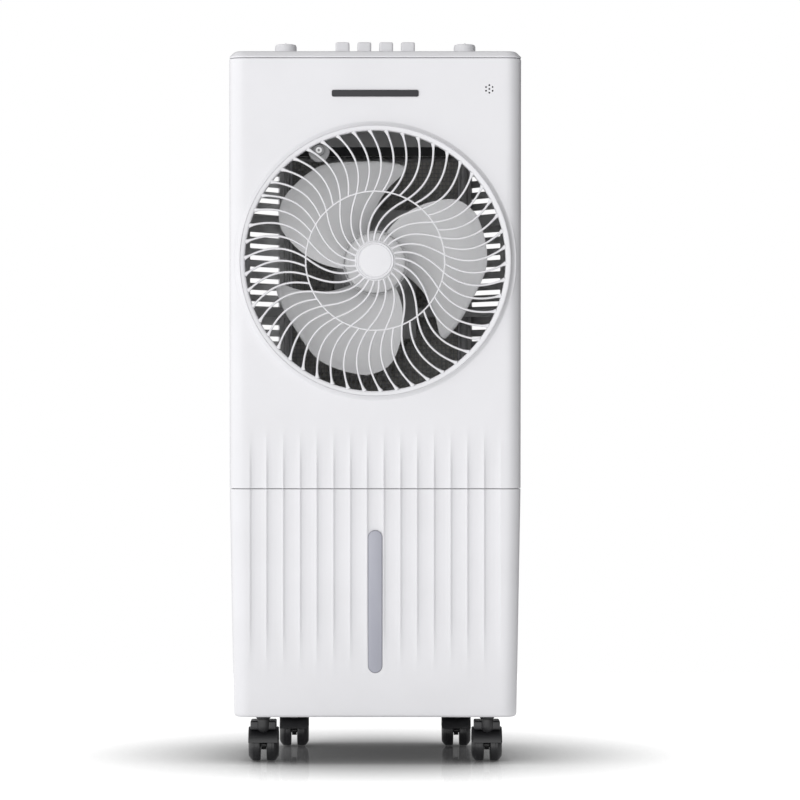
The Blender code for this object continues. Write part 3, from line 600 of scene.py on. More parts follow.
def wallPiece(name, outer, inner, columns=None, floor=False):
    # a wall between two grids of points; columns picks a stretch of the loop and leaves its ends open
    closed = columns is None
    if not closed:
        outer = [[row[i] for i in columns] for row in outer]
        inner = [[row[i] for i in columns] for row in inner]
    bm = bmesh.new()
    out = [[bm.verts.new(p) for p in row] for row in outer]
    into = [[bm.verts.new(p) for p in row] for row in inner]
    count = len(out[0])
    reach = count if closed else count - 1
    for grid, inside in ((out, 0), (into, 1)):
        for low, high in zip(grid, grid[1:]):
            for i in range(reach):
                j = (i + 1) % count
                bm.faces.new((low[i], low[j], high[j], high[i])).material_index = inside
    for i in range(reach):
        j = (i + 1) % count
        bm.faces.new((out[-1][i], out[-1][j], into[-1][j], into[-1][i]))
        if not floor:
            bm.faces.new((out[0][i], out[0][j], into[0][j], into[0][i]))
    if floor:
        bm.faces.new(out[0])
        bm.faces.new(into[0]).material_index = 1
    if not closed:
        for k in (0, -1):
            bm.faces.new([row[k] for row in out] + [row[k] for row in reversed(into)])
    piece = fromBmesh(name, bm, 11)
    # outer faces take the white finish, inner faces a greyer one that is painted shade for the dim
    # inside
    piece.data.materials.append(materials["white_plastic"])
    piece.data.materials.append(paintedInsideFinish)
    return piece


def zSteps(low, high, count):
    return [low + (high - low) * i / count for i in range(count + 1)]


def stadium(halfWidth, low, high, steps=16):
    top = arcPoints((0, high - halfWidth), halfWidth, 0, 180, steps)
    return top + arcPoints((0, low + halfWidth), halfWidth, 180, 360, steps)


tankParts = {
    "rounding": 0.004,  # along the bottom edge
    "window": (0.0077, 0.0970, 0.2483),  # half width, and from where to where
    "portRim": ((-0.084, 0.0), (0.239, 0.290)),
    "port": ((-0.077, -0.007), (0.248, 0.284)),
    "drainBoss": 0.0105,
    "drainBore": 0.0063,
    "plinth": (0.035, 0.030, 0.0470),
}


def waterTank():
    base, curve = tankFloor, tankParts["rounding"]
    edge = [(base + curve * (1 - math.cos(a)), curve * (1 - math.sin(a))) for a in (0, 0.4, 0.8, 1.2)]
    lip = [(tankHigh.z - 0.0003, 0.0001), (tankHigh.z, 0.0006)]
    levels = edge + [(z, 0) for z in zSteps(base + curve, tankHigh.z - 0.0008, 44)] + lip
    inner = [(z, 0) for z in zSteps(base + 0.003, tankHigh.z, 8)]
    wall = cabinet["wall"] + cabinet["fluteDepth"] * 0.35
    tank = wallPiece("waterTank", wallRows(levels), wallRows(inner, wall, flutes=False), floor=True)
    hole = prism("windowHole", stadium(*tankParts["window"]), frontY - 0.01, frontY + 0.01, "Y")
    boolean(tank, hole)
    (left, right), (low, high) = tankParts["portRim"]
    rim = block("portRim", (left, rearY - 0.0015, low), (right, rearY + 0.0015, high), 0.0008)
    boolean(tank, rim, "UNION")
    (left, right), (low, high) = tankParts["port"]
    boolean(tank, block("portHole", (left, 0.12, low), (right, 0.15, high)))
    drain = middleOf("drain_plug")
    r = tankParts["drainBoss"]
    boss = [(0, 0.1365), (r, 0.1365), (r, 0.1395), (r - 0.0005, 0.1400), (0, 0.1400)]
    boolean(tank, turned("drainBoss", boss, (drain.x, 0, drain.z), "Y", 32), "UNION")
    drill(tank, tankParts["drainBore"], 0.12, 0.15, (drain.x, 0, drain.z), "Y")
    x, y, low = tankParts["plinth"]
    plinth = block("plinth", (-x, -y, low), (x, y, 0.0515), 0.0006)
    boolean(tank, plinth, "UNION")
    return settle(reshade(tank, 11), "cabinet", "white_plastic", "water_tank")


waterTank()
print("tank made")


collar = {
    "bore": 0.1430, "foot": 0.1492, "crest": -0.1430, "rise": 0.0059, "opening": 0.1462, "back": -0.1255
}
sensor = {"centre": (0.1208, 0.7152), "ring": 0.0040, "holes": 6, "radius": 0.0010}


def frontPanel():
    plainFrom = cabinet["fluteTop"][0]
    heights = zSteps(panelLow.z, plainFrom, 22) + zSteps(plainFrom, panelHigh.z, 4)[1:]
    loop = planPoints(halfTop)
    half = [i for i, (x, y) in enumerate(loop) if x >= 0 and y <= cabinet["split"] + 0.02]
    right = [i for i in half if i < len(loop) / 2]
    columns = [len(loop) - i for i in reversed(right) if i] + right
    low, high = heights[0], heights[-1]
    levels = [(low, 0.0006), (low + 0.0003, 0.0001), (low + 0.0008, 0)] + [(z, 0) for z in heights[1:-1]]
    levels += [(high - 0.0012, 0), (high - 0.0004, 0.0002), (high, 0.0009)]
    wall = cabinet["wall"] + cabinet["fluteDepth"] * 0.35
    inner = [(z, 0) for z in (low, *heights[1:-1], high)]
    panel = wallPiece("frontPanel", wallRows(levels), wallRows(inner, wall, flutes=False), columns)
    boolean(panel, block("panelBack", (-0.3, cabinet["split"], 0.2), (0.3, 0.2, 0.9)))
    centre = (0, 0, hubAxis.z)
    drill(panel, collar["opening"], -0.2, -0.1, centre, "Y", 160)
    bore, crest, foot, rise = collar["bore"], collar["crest"], collar["foot"], collar["rise"]
    lip = [(bore, collar["back"]), (bore, crest + 0.0004), (bore + 0.0003, crest)]
    slope = []
    for i in range(11):
        t = i / 10
        slope.append((bore + 0.0006 + (foot - bore - 0.0006) * t, frontY + 0.0003 - rise * (1 - t) ** 2))
    back = [(foot, frontY + 0.0012), (foot - 0.003, collar["back"])]
    boolean(panel, turned("collar", lip + slope + back, centre, "Y", 160, ring=True), "UNION")
    for x, z in [(0, 0)] + arcPoints((0, 0), sensor["ring"], 90, 450, sensor["holes"])[:-1]:
        place = (sensor["centre"][0] + x, 0, sensor["centre"][1] + z)
        drill(panel, sensor["radius"], -0.16, -0.12, place, "Y", 16)
    return settle(reshade(panel, 11), "cabinet", "white_plastic", "front_panel")


frontPanel()
print("front panel made")


louvres = {"pitch": 0.01288, "height": 0.0052, "middle": 0.5320, "inner": 0.1095, "outer": 0.1415}


gland = {
    "hole": 0.0052,
    "place": (0.080, 0, 0.309),
    "rings": 3,
    "ringPitch": 0.0018,
    "bore": 0.0028,
    "inside": 0.0048,
    "flange": 0.0070,
}


def slotCutters():
    # slots with round ends across both chamfers, in three groups of seven
    start, end = Vector(cabinet["sideEnd"]), Vector(cabinet["chamferEnd"])
    run = (end - start).normalized()
    out = Vector((run.y, -run.x))
    first = (louvres["outer"] - start.x) / run.x
    last = (louvres["inner"] - start.x) / run.x
    bm = bmesh.new()
    half = louvres["height"] / 2
    for place in range(-11, 12):
        if abs(place) == 4:
            continue
        z = louvres["middle"] + place * louvres["pitch"]
        corners = [(first, z - half), (last, z - half), (last, z + half), (first, z + half)]
        outline = rounded(corners, 0.0016, 3)
        for side in (1, -1):
            rings = []
            for depth in (-0.012, 0.010):
                ring = []
                for s, height in outline:
                    p = start + run * s + out * depth
                    ring.append((side * p.x, p.y, height))
                rings.append(ring)
            addRings(bm, rings)
    return fromBmesh("slotCutters", bm)


def rearHousing():
    heights = zSteps(panelLow.z, panelHigh.z, 6)
    levels = [(z, 0) for z in heights]
    loop = planPoints(halfTop)
    columns = [i for i, (_, y) in enumerate(loop) if y > cabinet["split"] - 0.04 and 0 < i]
    wall = cabinet["wall"]
    housing = wallPiece(
        "rearHousing", wallRows(levels, flutes=False), wallRows(levels, wall, flutes=False), columns
    )
    boolean(housing, block("housingFront", (-0.3, -0.3, 0.2), (0.3, cabinet["split"] + 0.0004, 0.9)))
    half, low, high = cabinet["hole"]
    boolean(housing, block("cassetteHole", (-half, 0.12, low), (half, 0.15, high)))
    boolean(housing, slotCutters())
    drill(housing, gland["hole"], 0.12, 0.15, gland["place"], "Y")
    return settle(reshade(housing, 20), "cabinet", "white_plastic", "rear_housing")


rearHousing()
print("rear housing made")


# Front grille

grille = {
    "ribs": 50,
    "first": 91.1,  # where a rib crosses the middle ring, degrees
    "ring": 0.0735,
    "ribWidth": 0.0022,
    "ribDepth": 0.0030,
    "inner": 0.0190,
    "outer": 0.1385,
    "inward": (0.5198, 0.008284, -0.0001308),
    "outward": (-0.4045, 0.009872, -0.00005096),
    "rimFlare": (1.3, 0.1335, 0.005),  # how much wider, from where and over what length
    "hubFlare": (0.25, 0.030, 0.01),
    "longSteps": 34,
    "shortSteps": 20,
    "edge": 0.0047,
}


def ribSweep(radius):
    # degrees of sweep, a cubic in millimetres from the middle ring
    d = (radius - grille["ring"]) * 1000
    a, b, c = grille["inward"] if d < 0 else grille["outward"]
    d = abs(d)
    return a * d + b * d**2 + c * d**3


def addRib(bm, angle, inner, front):
    # a bar with a crowned front, swept along the rib's curve and widened where it meets the rim
    steps = grille["longSteps"] if inner < grille["ring"] else grille["shortSteps"]
    centres = []
    for i in range(steps + 1):
        radius = inner + (grille["outer"] - inner) * i / steps
        turn = math.radians(angle + ribSweep(radius))
        centres.append((Vector((radius * math.cos(turn), radius * math.sin(turn))), radius))
    rings = []
    depth = grille["ribDepth"]
    atRim, rimStart, rimRun = grille["rimFlare"]
    atHub, hubStart, hubRun = grille["hubFlare"]
    for i, (centre, radius) in enumerate(centres):
        ahead = centres[min(i + 1, steps)][0] - centres[max(i - 1, 0)][0]
        across = Vector((-ahead.y, ahead.x)).normalized()
        flare = 1 + atRim * smoothStep((radius - rimStart) / rimRun)
        flare += atHub * smoothStep((hubStart - radius) / hubRun)
        half = grille["ribWidth"] / 2 * flare
        section = [
            (-1, depth), (-1, 0.35 * depth), (-0.62, 0.08 * depth), (0, 0), (0.62, 0.08 * depth),
            (1, 0.35 * depth), (1, depth),
        ]
        ring = []
        for share, back in section:
            p = centre + across * half * share
            ring.append((p.x, front + back, hubAxis.z + p.y))
        rings.append(ring)
    addRings(bm, rings)


def frontGrille():
    low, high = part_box("front_grille")
    pitch = 360 / grille["ribs"]
    bm = bmesh.new()
    for i in range(grille["ribs"]):
        inner = grille["inner"] if i % 2 == 0 else grille["ring"]
        addRib(bm, grille["first"] + i * pitch, inner, low.y + 0.0002)
    ribs = fromBmesh("frontGrille", bm, 40)
    centre = (0, 0, hubAxis.z)
    r = grille["ring"]
    band = [
        (r - 0.0008, low.y + 0.0006), (r - 0.0003, low.y + 0.0001), (r + 0.0003, low.y + 0.0001),
        (r + 0.0008, low.y + 0.0006), (r + 0.0008, high.y), (r - 0.0008, high.y),
    ]
    ring = turned("middleRing", band, centre, "Y", 160, ring=True)
    disc = [
        (0, low.y + 0.0002), (0.0212, low.y + 0.0002), (0.0216, low.y + 0.0006), (0.0216, high.y),
        (0, high.y),
    ]
    seat = turned("hubSeat", disc, centre, "Y", 96)
    rim = rimHigh.x + 0.00028
    edge = [
        (rim - grille["edge"], low.y + 0.0012), (rim - 0.0040, low.y + 0.0004), (rim - 0.0030, low.y),
        (rim - 0.0002, low.y), (rim, low.y + 0.0002), (rim, high.y), (rim - grille["edge"], high.y),
    ]
    outer = turned("grilleEdge", edge, centre, "Y", 200, ring=True)
    whole = join("frontGrille", [ribs, ring, seat, outer])
    return settle(whole, "grille", "white_plastic", "front_grille")


def grilleRim():
    rim = rimHigh.x
    profile = rounded(
        [
            (rim - grille["edge"], rimLow.y), (rim, rimLow.y), (rim, rimHigh.y),
            (rim - grille["edge"], rimHigh.y),
        ],
        0.0006,
        3,
    )
    ring = turned("grilleRim", profile, (0, 0, hubAxis.z), "Y", 160, ring=True)
    return settle(ring, "grille", "white_plastic", "grille_rim")


def grilleCap():
    front, back, radius = capLow.y, capHigh.y, capHigh.x
    dome = [(0.0168 * t, front + 0.0004 * t * t) for t in (0, 0.25, 0.5, 0.75, 1)]
    groove = [(0.0173, front + 0.0012), (0.0179, front + 0.0012), (0.0184, front + 0.0004)]
    edge = [
        (0.0190, front + 0.0003), (0.0196, front + 0.0008), (radius, front + 0.0018), (radius, back),
        (0, back),
    ]
    cap = turned("grilleCap", dome + groove + edge, (0, 0, hubAxis.z), "Y", 128, sharp=24)
    return settle(cap, "grille", "white_plastic", "grille_cap")


frontGrille()
grilleRim()
grilleCap()
print("grille made")


# Fan

fan = {
    "blades": 3,
    "hub": 0.0347,
    "tip": 0.1180,
    "middle": 24.5,  # a blade's middle angle at the hub
    "sweep": 410,  # degrees per metre of radius
    "half": 45,
    "rows": 22,
    "columns": 28,
    "thick": 0.0022,
    "reach": (0.914, 0.122),  # the leading end reaches farther out
    "root": 0.0335,
    "cornerFrom": 0.100,
    "corners": (0.20, 0.10),  # how far the leading and trailing corners are rounded off
    "plane": -0.058,
    "lift": (0.0150, 0.0025),
    "dish": 0.004,
    "tipBend": 0.0018,
}


def bladePoint(radius, share, turn, side):
    t = (radius - fan["hub"]) / (fan["tip"] - fan["hub"])
    tipShare = max(0.0, (radius - fan["cornerFrom"]) / (fan["tip"] - fan["cornerFrom"]))
    corner = fan["corners"][0 if share > 0 else 1]
    half = fan["half"] * (1 - corner * tipShare**3.2)
    reach = fan["reach"][0] + fan["reach"][1] * smoothStep((share + 0.5) / 0.9)
    radius = fan["hub"] + (radius - fan["hub"]) * (reach if t > 0 else 1)
    angle = math.radians(fan["middle"] - fan["sweep"] * (radius - 0.036) + half * share + turn)
    lift = fan["lift"][0] - fan["lift"][1] * t
    y = fan["plane"] - lift * share + fan["dish"] * share**2
    y -= fan["tipBend"] * smoothStep((t - 0.90) / 0.05)
    edge = math.sqrt(max(0.0, 1 - abs(share) ** 8)) * math.sqrt(max(0.0, 1 - max(0.0, t) ** 14))
    y += side * fan["thick"] / 2 * (0.25 + 0.75 * edge)
    return (radius * math.cos(angle), y, hubAxis.z + radius * math.sin(angle))


def addBlade(bm, turn):
    rows, columns = fan["rows"], fan["columns"]
    grids = []
    for side in (-1, 1):
        grid = []
        for i in range(rows + 1):
            t = i / rows
            radius = fan["root"] + (fan["tip"] - fan["root"]) * (1 - (1 - t) ** 1.5)
            grid.append(
                [
                    bm.verts.new(bladePoint(radius, 2 * j / columns - 1, turn, side))
                    for j in range(columns + 1)
                ]
            )
        grids.append(grid)
    front, back = grids
    for i in range(rows):
        for j in range(columns):
            for grid in grids:
                bm.faces.new((grid[i][j], grid[i + 1][j], grid[i + 1][j + 1], grid[i][j + 1]))
        for j in (0, columns):
            bm.faces.new((front[i][j], front[i + 1][j], back[i + 1][j], back[i][j]))
    for i in (0, rows):
        for j in range(columns):
            bm.faces.new((front[i][j], front[i][j + 1], back[i][j + 1], back[i][j]))


def fanBlades():
    front, back, hub = -0.0790, -0.0380, fan["hub"]
    profile = [
        (0.0043, front), (0.0270, front), (0.0300, front + 0.0006), (0.0318, front + 0.0016),
        (0.0325, front + 0.0034), (0.0326, front + 0.0075), (0.0334, front + 0.0075),
        (0.0336, front + 0.0055), (0.0341, front + 0.0050), (hub, front + 0.0058), (hub, back),
        (hub - 0.002, back), (hub - 0.002, front + 0.0110), (0.0305, front + 0.0090),
        (0.0290, front + 0.0040), (0.0110, front + 0.0030), (0.0110, -0.0600), (0.0043, -0.0600),
    ]
    piece = turned("fanBlades", profile, (0, 0, hubAxis.z), "Y", 96, ring=True)
    bm = bmesh.new()
    for i in range(fan["blades"]):
        addBlade(bm, i * 360 / fan["blades"])
    boolean(piece, fromBmesh("bladeSet", bm), "UNION")
    return settle(reshade(piece, 35), "fan", "light_grey_plastic", "fan_blades")


fanBlades()
print("fan made")


# Level window


def levelWindow():
    low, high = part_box("level_window")
    outline = stadium(high.x, low.z, high.z, 20)
    steps = [(0.0, high.y), (0.0, low.y + 0.0008), (0.0003, low.y + 0.0003), (0.0009, low.y)]
    rings = []
    middle = (low.z + high.z) / 2
    for inset, y in steps:
        sx = (high.x - inset) / high.x
        reach = (high.z - low.z) / 2
        sz = (reach - inset) / reach
        rings.append([(x * sx, y, middle + (z - middle) * sz) for x, z in outline])
    return settle(skin("levelWindow", rings, 25), "cabinet", "level_window", "level_window")


levelWindow()
print("level window made")


# Helpers for the smaller pieces


def roundRect(left, right, low, high, radius, steps=5):
    return rounded([(left, low), (right, low), (right, high), (left, high)], radius, steps)


def bars(name, ranges, bevel=0.0, segments=2):
    # many separate boxes in one piece: (x, x, y, y, z, z) each
    bm = bmesh.new()
    for x0, x1, y0, y1, z0, z1 in ranges:
        addPrism(bm, [(x0, y0), (x1, y0), (x1, y1), (x0, y1)], z0, z1)
    piece = fromBmesh(name, bm)
    return soften(piece, bevel, segments) if bevel else piece


def shifted(piece, name, move):
    # a copy of a piece, set down somewhere else
    mesh = piece.data.copy()
    mesh.name = name
    made = bpy.data.objects.new(name, mesh)
    scene.collection.objects.link(made)
    mesh.transform(Matrix.Translation(Vector(move)))
    return made


def lattice(name, sides, levels, depth, pitch, thin):
    # upright and level bars, with the level ones set back a little
    ranges = []
    count = round((sides[1] - sides[0]) / pitch)
    for i in range(count + 1):
        x = sides[0] + thin / 2 + (sides[1] - sides[0] - thin) * i / count
        ranges.append((x - thin / 2, x + thin / 2, depth[0], depth[1], levels[0], levels[1]))
    count = round((levels[1] - levels[0]) / pitch)
    for i in range(count + 1):
        z = levels[0] + thin / 2 + (levels[1] - levels[0] - thin) * i / count
        ranges.append(
            (sides[0], sides[1], depth[0] + 0.0003, depth[1] - 0.0003, z - thin / 2, z + thin / 2)
        )
    return bars(name, ranges)


# Lid and controls

lid = {
    "edge": [(0.0000, 0.0020), (0.0003, 0.0005), (0.0007, 0.0001), (0.0013, 0.0), (0.0019, 0.0004)],
    "bevelStart": (0.0025, 0.0008),
    "bevelEnd": (0.0062, 0.0046),
    "rounding": [(0.0069, 0.0058), (0.0074, 0.0074), (0.0076, 0.0100)],
    "hollow": 0.0145,
    "thick": 0.0025,
    "patch": (-0.070, 0.070, -0.010, 0.095),
}
knob = {
    "grip": 0.0120,
    "top": 0.0100,
    "flutes": 36,
    "fluteDepth": 0.00022,
    "mark": (0.0016, 0.0090),
    "hole": 0.0045,  # through the lid
    "bore": 0.0034,
    "boreEnd": 0.7643,
    "shaft": 0.0030,
}
buttons = {
    "names": {
        "buttonOff": "button_off",
        "buttonLow": "button_low",
        "buttonMid": "button_mid",
        "buttonHigh": "button_high",
    },
    "base": 0.7440,
    "corner": 0.0026,
    "stem": 0.0025,
    "well": 0.0032,
    "gap": 0.0005,
}
buttonHalf = (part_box("button_low")[1].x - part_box("button_low")[0].x) / 2
buttonY = middleOf("button_low").y
topZ = lidHigh.z - 0.0004


def topCover():
    base = lidLow.z
    steps = lid["edge"] + [lid["bevelStart"]]
    for t in (0.25, 0.5, 0.75, 1.0):
        z, inset = (a + (b - a) * t for a, b in zip(lid["bevelStart"], lid["bevelEnd"]))
        steps.append((z, inset))
    steps += lid["rounding"]
    rings = [[(x, y, base + z) for x, y in planPoints(halfTop, inset)] for z, inset in steps]
    cover = skin("topCover", rings)
    left, right, front, back = lid["patch"]
    patch = prism(
        "patch", roundRect(left, right, front, back, 0.010), topZ - 0.001, lidHigh.z, "Z", 0.0003
    )
    boolean(cover, patch, "UNION")
    hollow = planPoints(halfTop, lid["hollow"])
    boolean(cover, prism("lidHollow", hollow, base - 0.001, topZ - lid["thick"]))
    hole = buttonHalf + buttons["gap"]
    for name in buttons["names"].values():
        x = middleOf(name).x
        outline = roundRect(x - hole, x + hole, buttonY - hole, buttonY + hole, 0.0022)
        boolean(cover, prism("buttonHole", outline, base - 0.01, topZ + 0.02))
    for name in ("timer_shaft", "function_shaft"):
        drill(cover, knob["hole"], 0.74, 0.78, (middleOf(name).x, buttonY, 0), "Z")
    return settle(reshade(cover, 30), "cabinet", "white_plastic", "top_cover")


def pushButtons():
    low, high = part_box("button_low")
    top, base, half = high.z, buttons["base"], buttonHalf
    steps = [
        (base, 0.0004), (base + 0.0006, 0.0), (top - 0.0016, 0.0002), (top - 0.0007, 0.0006),
        (top - 0.0002, 0.0013), (top, 0.0022), (top - 0.0002, 0.0036), (top - 0.0006, 0.0056),
    ]
    for label, name in buttons["names"].items():
        x = middleOf(name).x
        rings = []
        for z, inset in steps:
            h = half - inset
            outline = roundRect(
                x - h, x + h, buttonY - h, buttonY + h, max(0.0008, buttons["corner"] - inset * 0.3), 6
            )
            rings.append([(u, v, z) for u, v in outline])
        cap = skin(label, rings, 35)
        r = buttons["stem"]
        stem = block("stem", (x - r, buttonY - r, low.z), (x + r, buttonY + r, base + 0.001))
        boolean(cap, stem, "UNION")
        settle(reshade(cap, 35), name, "white_plastic", name)


def rotaryKnob(pieceName, node, body):
    # finely ribbed side, softly domed top and a raised pointer
    low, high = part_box(node)
    centre = middleOf(node)
    top, skirt = high.z - 0.0006, low.z
    rings = []
    steps = [
        (knob["grip"], skirt), (knob["grip"], skirt + 0.0010), (knob["grip"] - 0.0003, skirt + 0.0014),
        (knob["grip"] - 0.0004, top - 0.0030), (knob["grip"] - 0.0008, top - 0.0016),
        (knob["grip"] - 0.0016, top - 0.0006), (knob["top"] - 0.0010, top - 0.0002),
        (0.0050, top + 0.0001),
    ]
    for number, (radius, z) in enumerate(steps):
        ring = []
        for i in range(knob["flutes"] * 4):
            a = 2 * math.pi * i / (knob["flutes"] * 4)
            wave = knob["fluteDepth"] * (1 - math.cos(a * knob["flutes"])) / 2 if 2 < number < 5 else 0
            ring.append(
                (centre.x + (radius - wave) * math.cos(a), centre.y + (radius - wave) * math.sin(a), z)
            )
        rings.append(ring)
    piece = skin(pieceName, rings, 32)
    half, reach = knob["mark"]
    outline = roundRect(
        centre.x - half / 2, centre.x + half / 2, centre.y - reach, centre.y + reach * 0.55, half / 2
    )
    boolean(piece, prism("pointer", outline, top - 0.001, high.z, "Z", 0.0003), "UNION")
    drill(piece, knob["bore"], skirt - 0.001, knob["boreEnd"], (centre.x, centre.y, 0), "Z")
    return settle(reshade(piece, 32), body, "white_plastic", node)


def knobShaft(pieceName, node, body):
    # a round shaft with a flat on it
    low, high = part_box(node)
    centre = middleOf(node)
    profile = pin(knob["shaft"], low.z, high.z, 0.0002, 0.0003)
    piece = turned(pieceName, profile, (centre.x, centre.y, 0), "Z", 40)
    start, end = (centre.x - 0.004, centre.y - 0.004, high.z - 0.006), (
        centre.x + 0.004, centre.y - 0.0022, high.z + 0.001
    )
    boolean(piece, block("flat", start, end))
    return settle(reshade(piece), body, "steel", node)


dial = {
    "inner": 0.0142,
    "outer": 0.0162,
    "wide": 0.0007,
    "raised": 0.00035,
    "timer": 11,
    "function": 5,
    "start": -225,
    "turn": 270,
}


def dialMarks():
    # short plain marks round each knob
    bm = bmesh.new()
    for node, count in (("timer_knob", dial["timer"]), ("function_knob", dial["function"])):
        centre = middleOf(node)
        for i in range(count):
            a = math.radians(dial["start"] + dial["turn"] * i / (count - 1))
            along, across = directions(a)
            across = across * dial["wide"] / 2
            ends = [along * dial["inner"], along * dial["outer"]]
            outline = [ends[0] - across, ends[1] - across, ends[1] + across, ends[0] + across]
            rings = []
            for z in (topZ - 0.0003, topZ + dial["raised"]):
                rings.append([(centre.x + p.x, centre.y + p.y, z) for p in outline])
            addRings(bm, rings)
    piece = fromBmesh("dialMarks", bm)
    return settle(piece, "cabinet", "dark_grey_plastic", finish=plateAndShadeFinish)


def switchUnits():
    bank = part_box("speed_switch_bank")
    (x0, y0, z0), (x1, y1, z1) = bank
    piece = block("speedSwitchBank", (x0, y0, z0), (x1, y1, z1), 0.0008)
    r = buttons["well"]
    for name in buttons["names"].values():
        x = middleOf(name).x
        boolean(piece, block("well", (x - r, buttonY - r, 0.719), (x + r, buttonY + r, 0.74)))
    slots = [
        (x0 + 0.010 + i * 0.009, x0 + 0.013 + i * 0.009, y0 - 0.001, y0 + 0.0012, z0 + 0.004, z1 - 0.004)
        for i in range(10)
    ]
    boolean(piece, bars("bankSlots", slots))
    settle(reshade(piece), "cabinet", "black_plastic", "speed_switch_bank")
    for name, node in (("timerUnit", "timer_unit"), ("functionSwitch", "function_switch")):
        low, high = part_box(node)
        centre = middleOf(node)
        wide = high.x - centre.x
        profile = [
            (0.0034, high.z), (0.0048, high.z), (0.0050, high.z - 0.0003), (0.0050, 0.7350),
            (wide - 0.0010, 0.7350), (wide, 0.7342), (wide, 0.7270), (wide - 0.0006, 0.7266),
            (wide - 0.0006, 0.7250), (wide, 0.7246), (wide, low.z + 0.0008), (wide - 0.0008, low.z),
            (0, low.z), (0, 0.7305), (0.0034, 0.7305),
        ]
        unit = turned(name, profile, (centre.x, centre.y, 0), "Z", 72)
        settle(unit, "cabinet", "black_plastic", node)


def nameplate():
    # a slim blank plate with rounded ends
    low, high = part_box("nameplate")
    outline = roundRect(low.x, high.x, low.z, high.z, 0.0022, 6)
    plate = prism("nameplate", outline, low.y, high.y, "Y", 0.00035, 3)
    return settle(reshade(plate), "cabinet", "dark_grey_plastic", "nameplate", finish=plateAndShadeFinish)


topCover()
pushButtons()
rotaryKnob("timerKnob", "timer_knob", "timer_knob")
rotaryKnob("functionKnob", "function_knob", "function_knob")
knobShaft("timerShaft", "timer_shaft", "timer_knob")
knobShaft("functionShaft", "function_shaft", "function_knob")
dialMarks()
switchUnits()
nameplate()
print("lid and controls made")


# Casters

caster = {
    "axle": (0.016, 0.017),  # behind the stem, and above the floor
    "half": 0.0161,
    "hoodOut": 0.0195,
    "hoodIn": 0.0180,
    "crown": 0.0138,
    "boss": 0.0070,
    "axleBore": 0.0026,
    "arc": (169, 12),  # where the hood starts and ends, degrees round the axle
    "spokes": 5,
    "spokeHalf": 0.0009,
    "spokeEnds": (0.0040, 0.0104),
}


def hoodMesh():
    # one hood with its stem on the Z axis; the other three are copies
    back, up = caster["axle"]
    half = caster["half"]
    section = [
        (-half, 0.0), (half, 0.0), (half, 0.55), (half - 0.0009, 1.0), (-half + 0.0009, 1.0),
        (-half, 0.55),
    ]
    rings = []
    start, end = caster["arc"]
    for i in range(37):
        a = math.radians(start + (end - start) * i / 36)
        ring = []
        for x, share in section:
            r = caster["hoodIn"] + (caster["hoodOut"] - caster["hoodIn"]) * share
            ring.append((x, back + r * math.cos(a), up + r * math.sin(a)))
        rings.append(ring)
    hood = skin("hood", rings)
    centre = (back, up)
    web = arcPoints(centre, 0.0187, 160, 22, 24) + arcPoints(centre, 0.0052, 22, -188, 18)
    boolean(hood, prism("web", web, -0.0026, 0.0026, "X"), "UNION")
    crown = block(
        "crown", (-caster["crown"], -0.0035, 0.0345), (caster["crown"], 0.0275, 0.0440), 0.0016, 3
    )
    boolean(hood, crown, "UNION")
    boss = caster["boss"]
    stem = [
        (0, 0.0492), (0.0036, 0.0492), (0.0040, 0.0488), (0.0040, 0.0455), (boss, 0.0455), (boss, 0.0380)
    ]
    for a in (0.3, 0.6, 0.9, 1.2, 1.45):
        stem.append((boss * math.cos(a), 0.0380 - 0.0066 * math.sin(a)))
    stem.append((0, 0.0314))
    boolean(hood, turned("stem", stem, (0, 0, 0), "Z", 40), "UNION")
    for side in (-1, 1):
        room = [(0, side * 0.0027), (0.01775, side * 0.0027), (0.01775, side * 0.020), (0, side * 0.020)]
        boolean(hood, turned("wheelRoom", room, (0, *centre), "X", 64))
    drill(hood, caster["axleBore"], -0.01, 0.01, (0, *centre), "X", 24)
    return reshade(hood, 32)


def wheelMesh():
    # two wheels and their axle; chamfered treads, and a dished outer face with a hub
    half = [
        (0.0, 0.0146), (0.0036, 0.0146), (0.0042, 0.0142), (0.0044, 0.0134), (0.0050, 0.0130),
        (0.0100, 0.0138), (0.0103, 0.0146), (0.0108, 0.0156), (0.0114, 0.0160), (0.0122, 0.0158),
        (0.0144, 0.0142), (0.0163, 0.0125), (0.0170, 0.0113), (0.0170, 0.0100), (0.0168, 0.0097),
        (0.0168, 0.0091), (0.0170, 0.0088), (0.0170, 0.0050), (0.0166, 0.0040), (0.0158, 0.0034),
        (0.0120, 0.0032), (0.0060, 0.0034), (0.0024, 0.0034),
    ]
    profile = half + [(r, -x) for r, x in reversed(half)]
    wheels = turned("wheels", profile, (0, *caster["axle"]), "X", 72, sharp=28)
    bm = bmesh.new()
    for side in (-1, 1):
        for i in range(caster["spokes"]):
            a = 2 * math.pi * i / caster["spokes"] + 0.3
            along, across = directions(a)
            across = across * caster["spokeHalf"]
            near, far = (along * r for r in caster["spokeEnds"])
            outline = [near - across, far - across, far + across, near + across]
            ends = (side * 0.0120, side * 0.0148)
            rings = [
                [(x, caster["axle"][0] + p.x, caster["axle"][1] + p.y) for p in outline] for x in ends
            ]
            addRings(bm, rings)
    boolean(wheels, fromBmesh("spokes", bm), "UNION")
    return reshade(wheels, 28)


def socketMesh():
    profile = [
        (0.0045, 0.0497), (0.0128, 0.0497), (0.0130, 0.0494), (0.0126, 0.0490), (0.0085, 0.0480),
        (0.0074, 0.0472), (0.0071, 0.0460), (0.0045, 0.0460),
    ]
    return turned("socket", profile, (0, 0, 0), "Z", 56, ring=True)


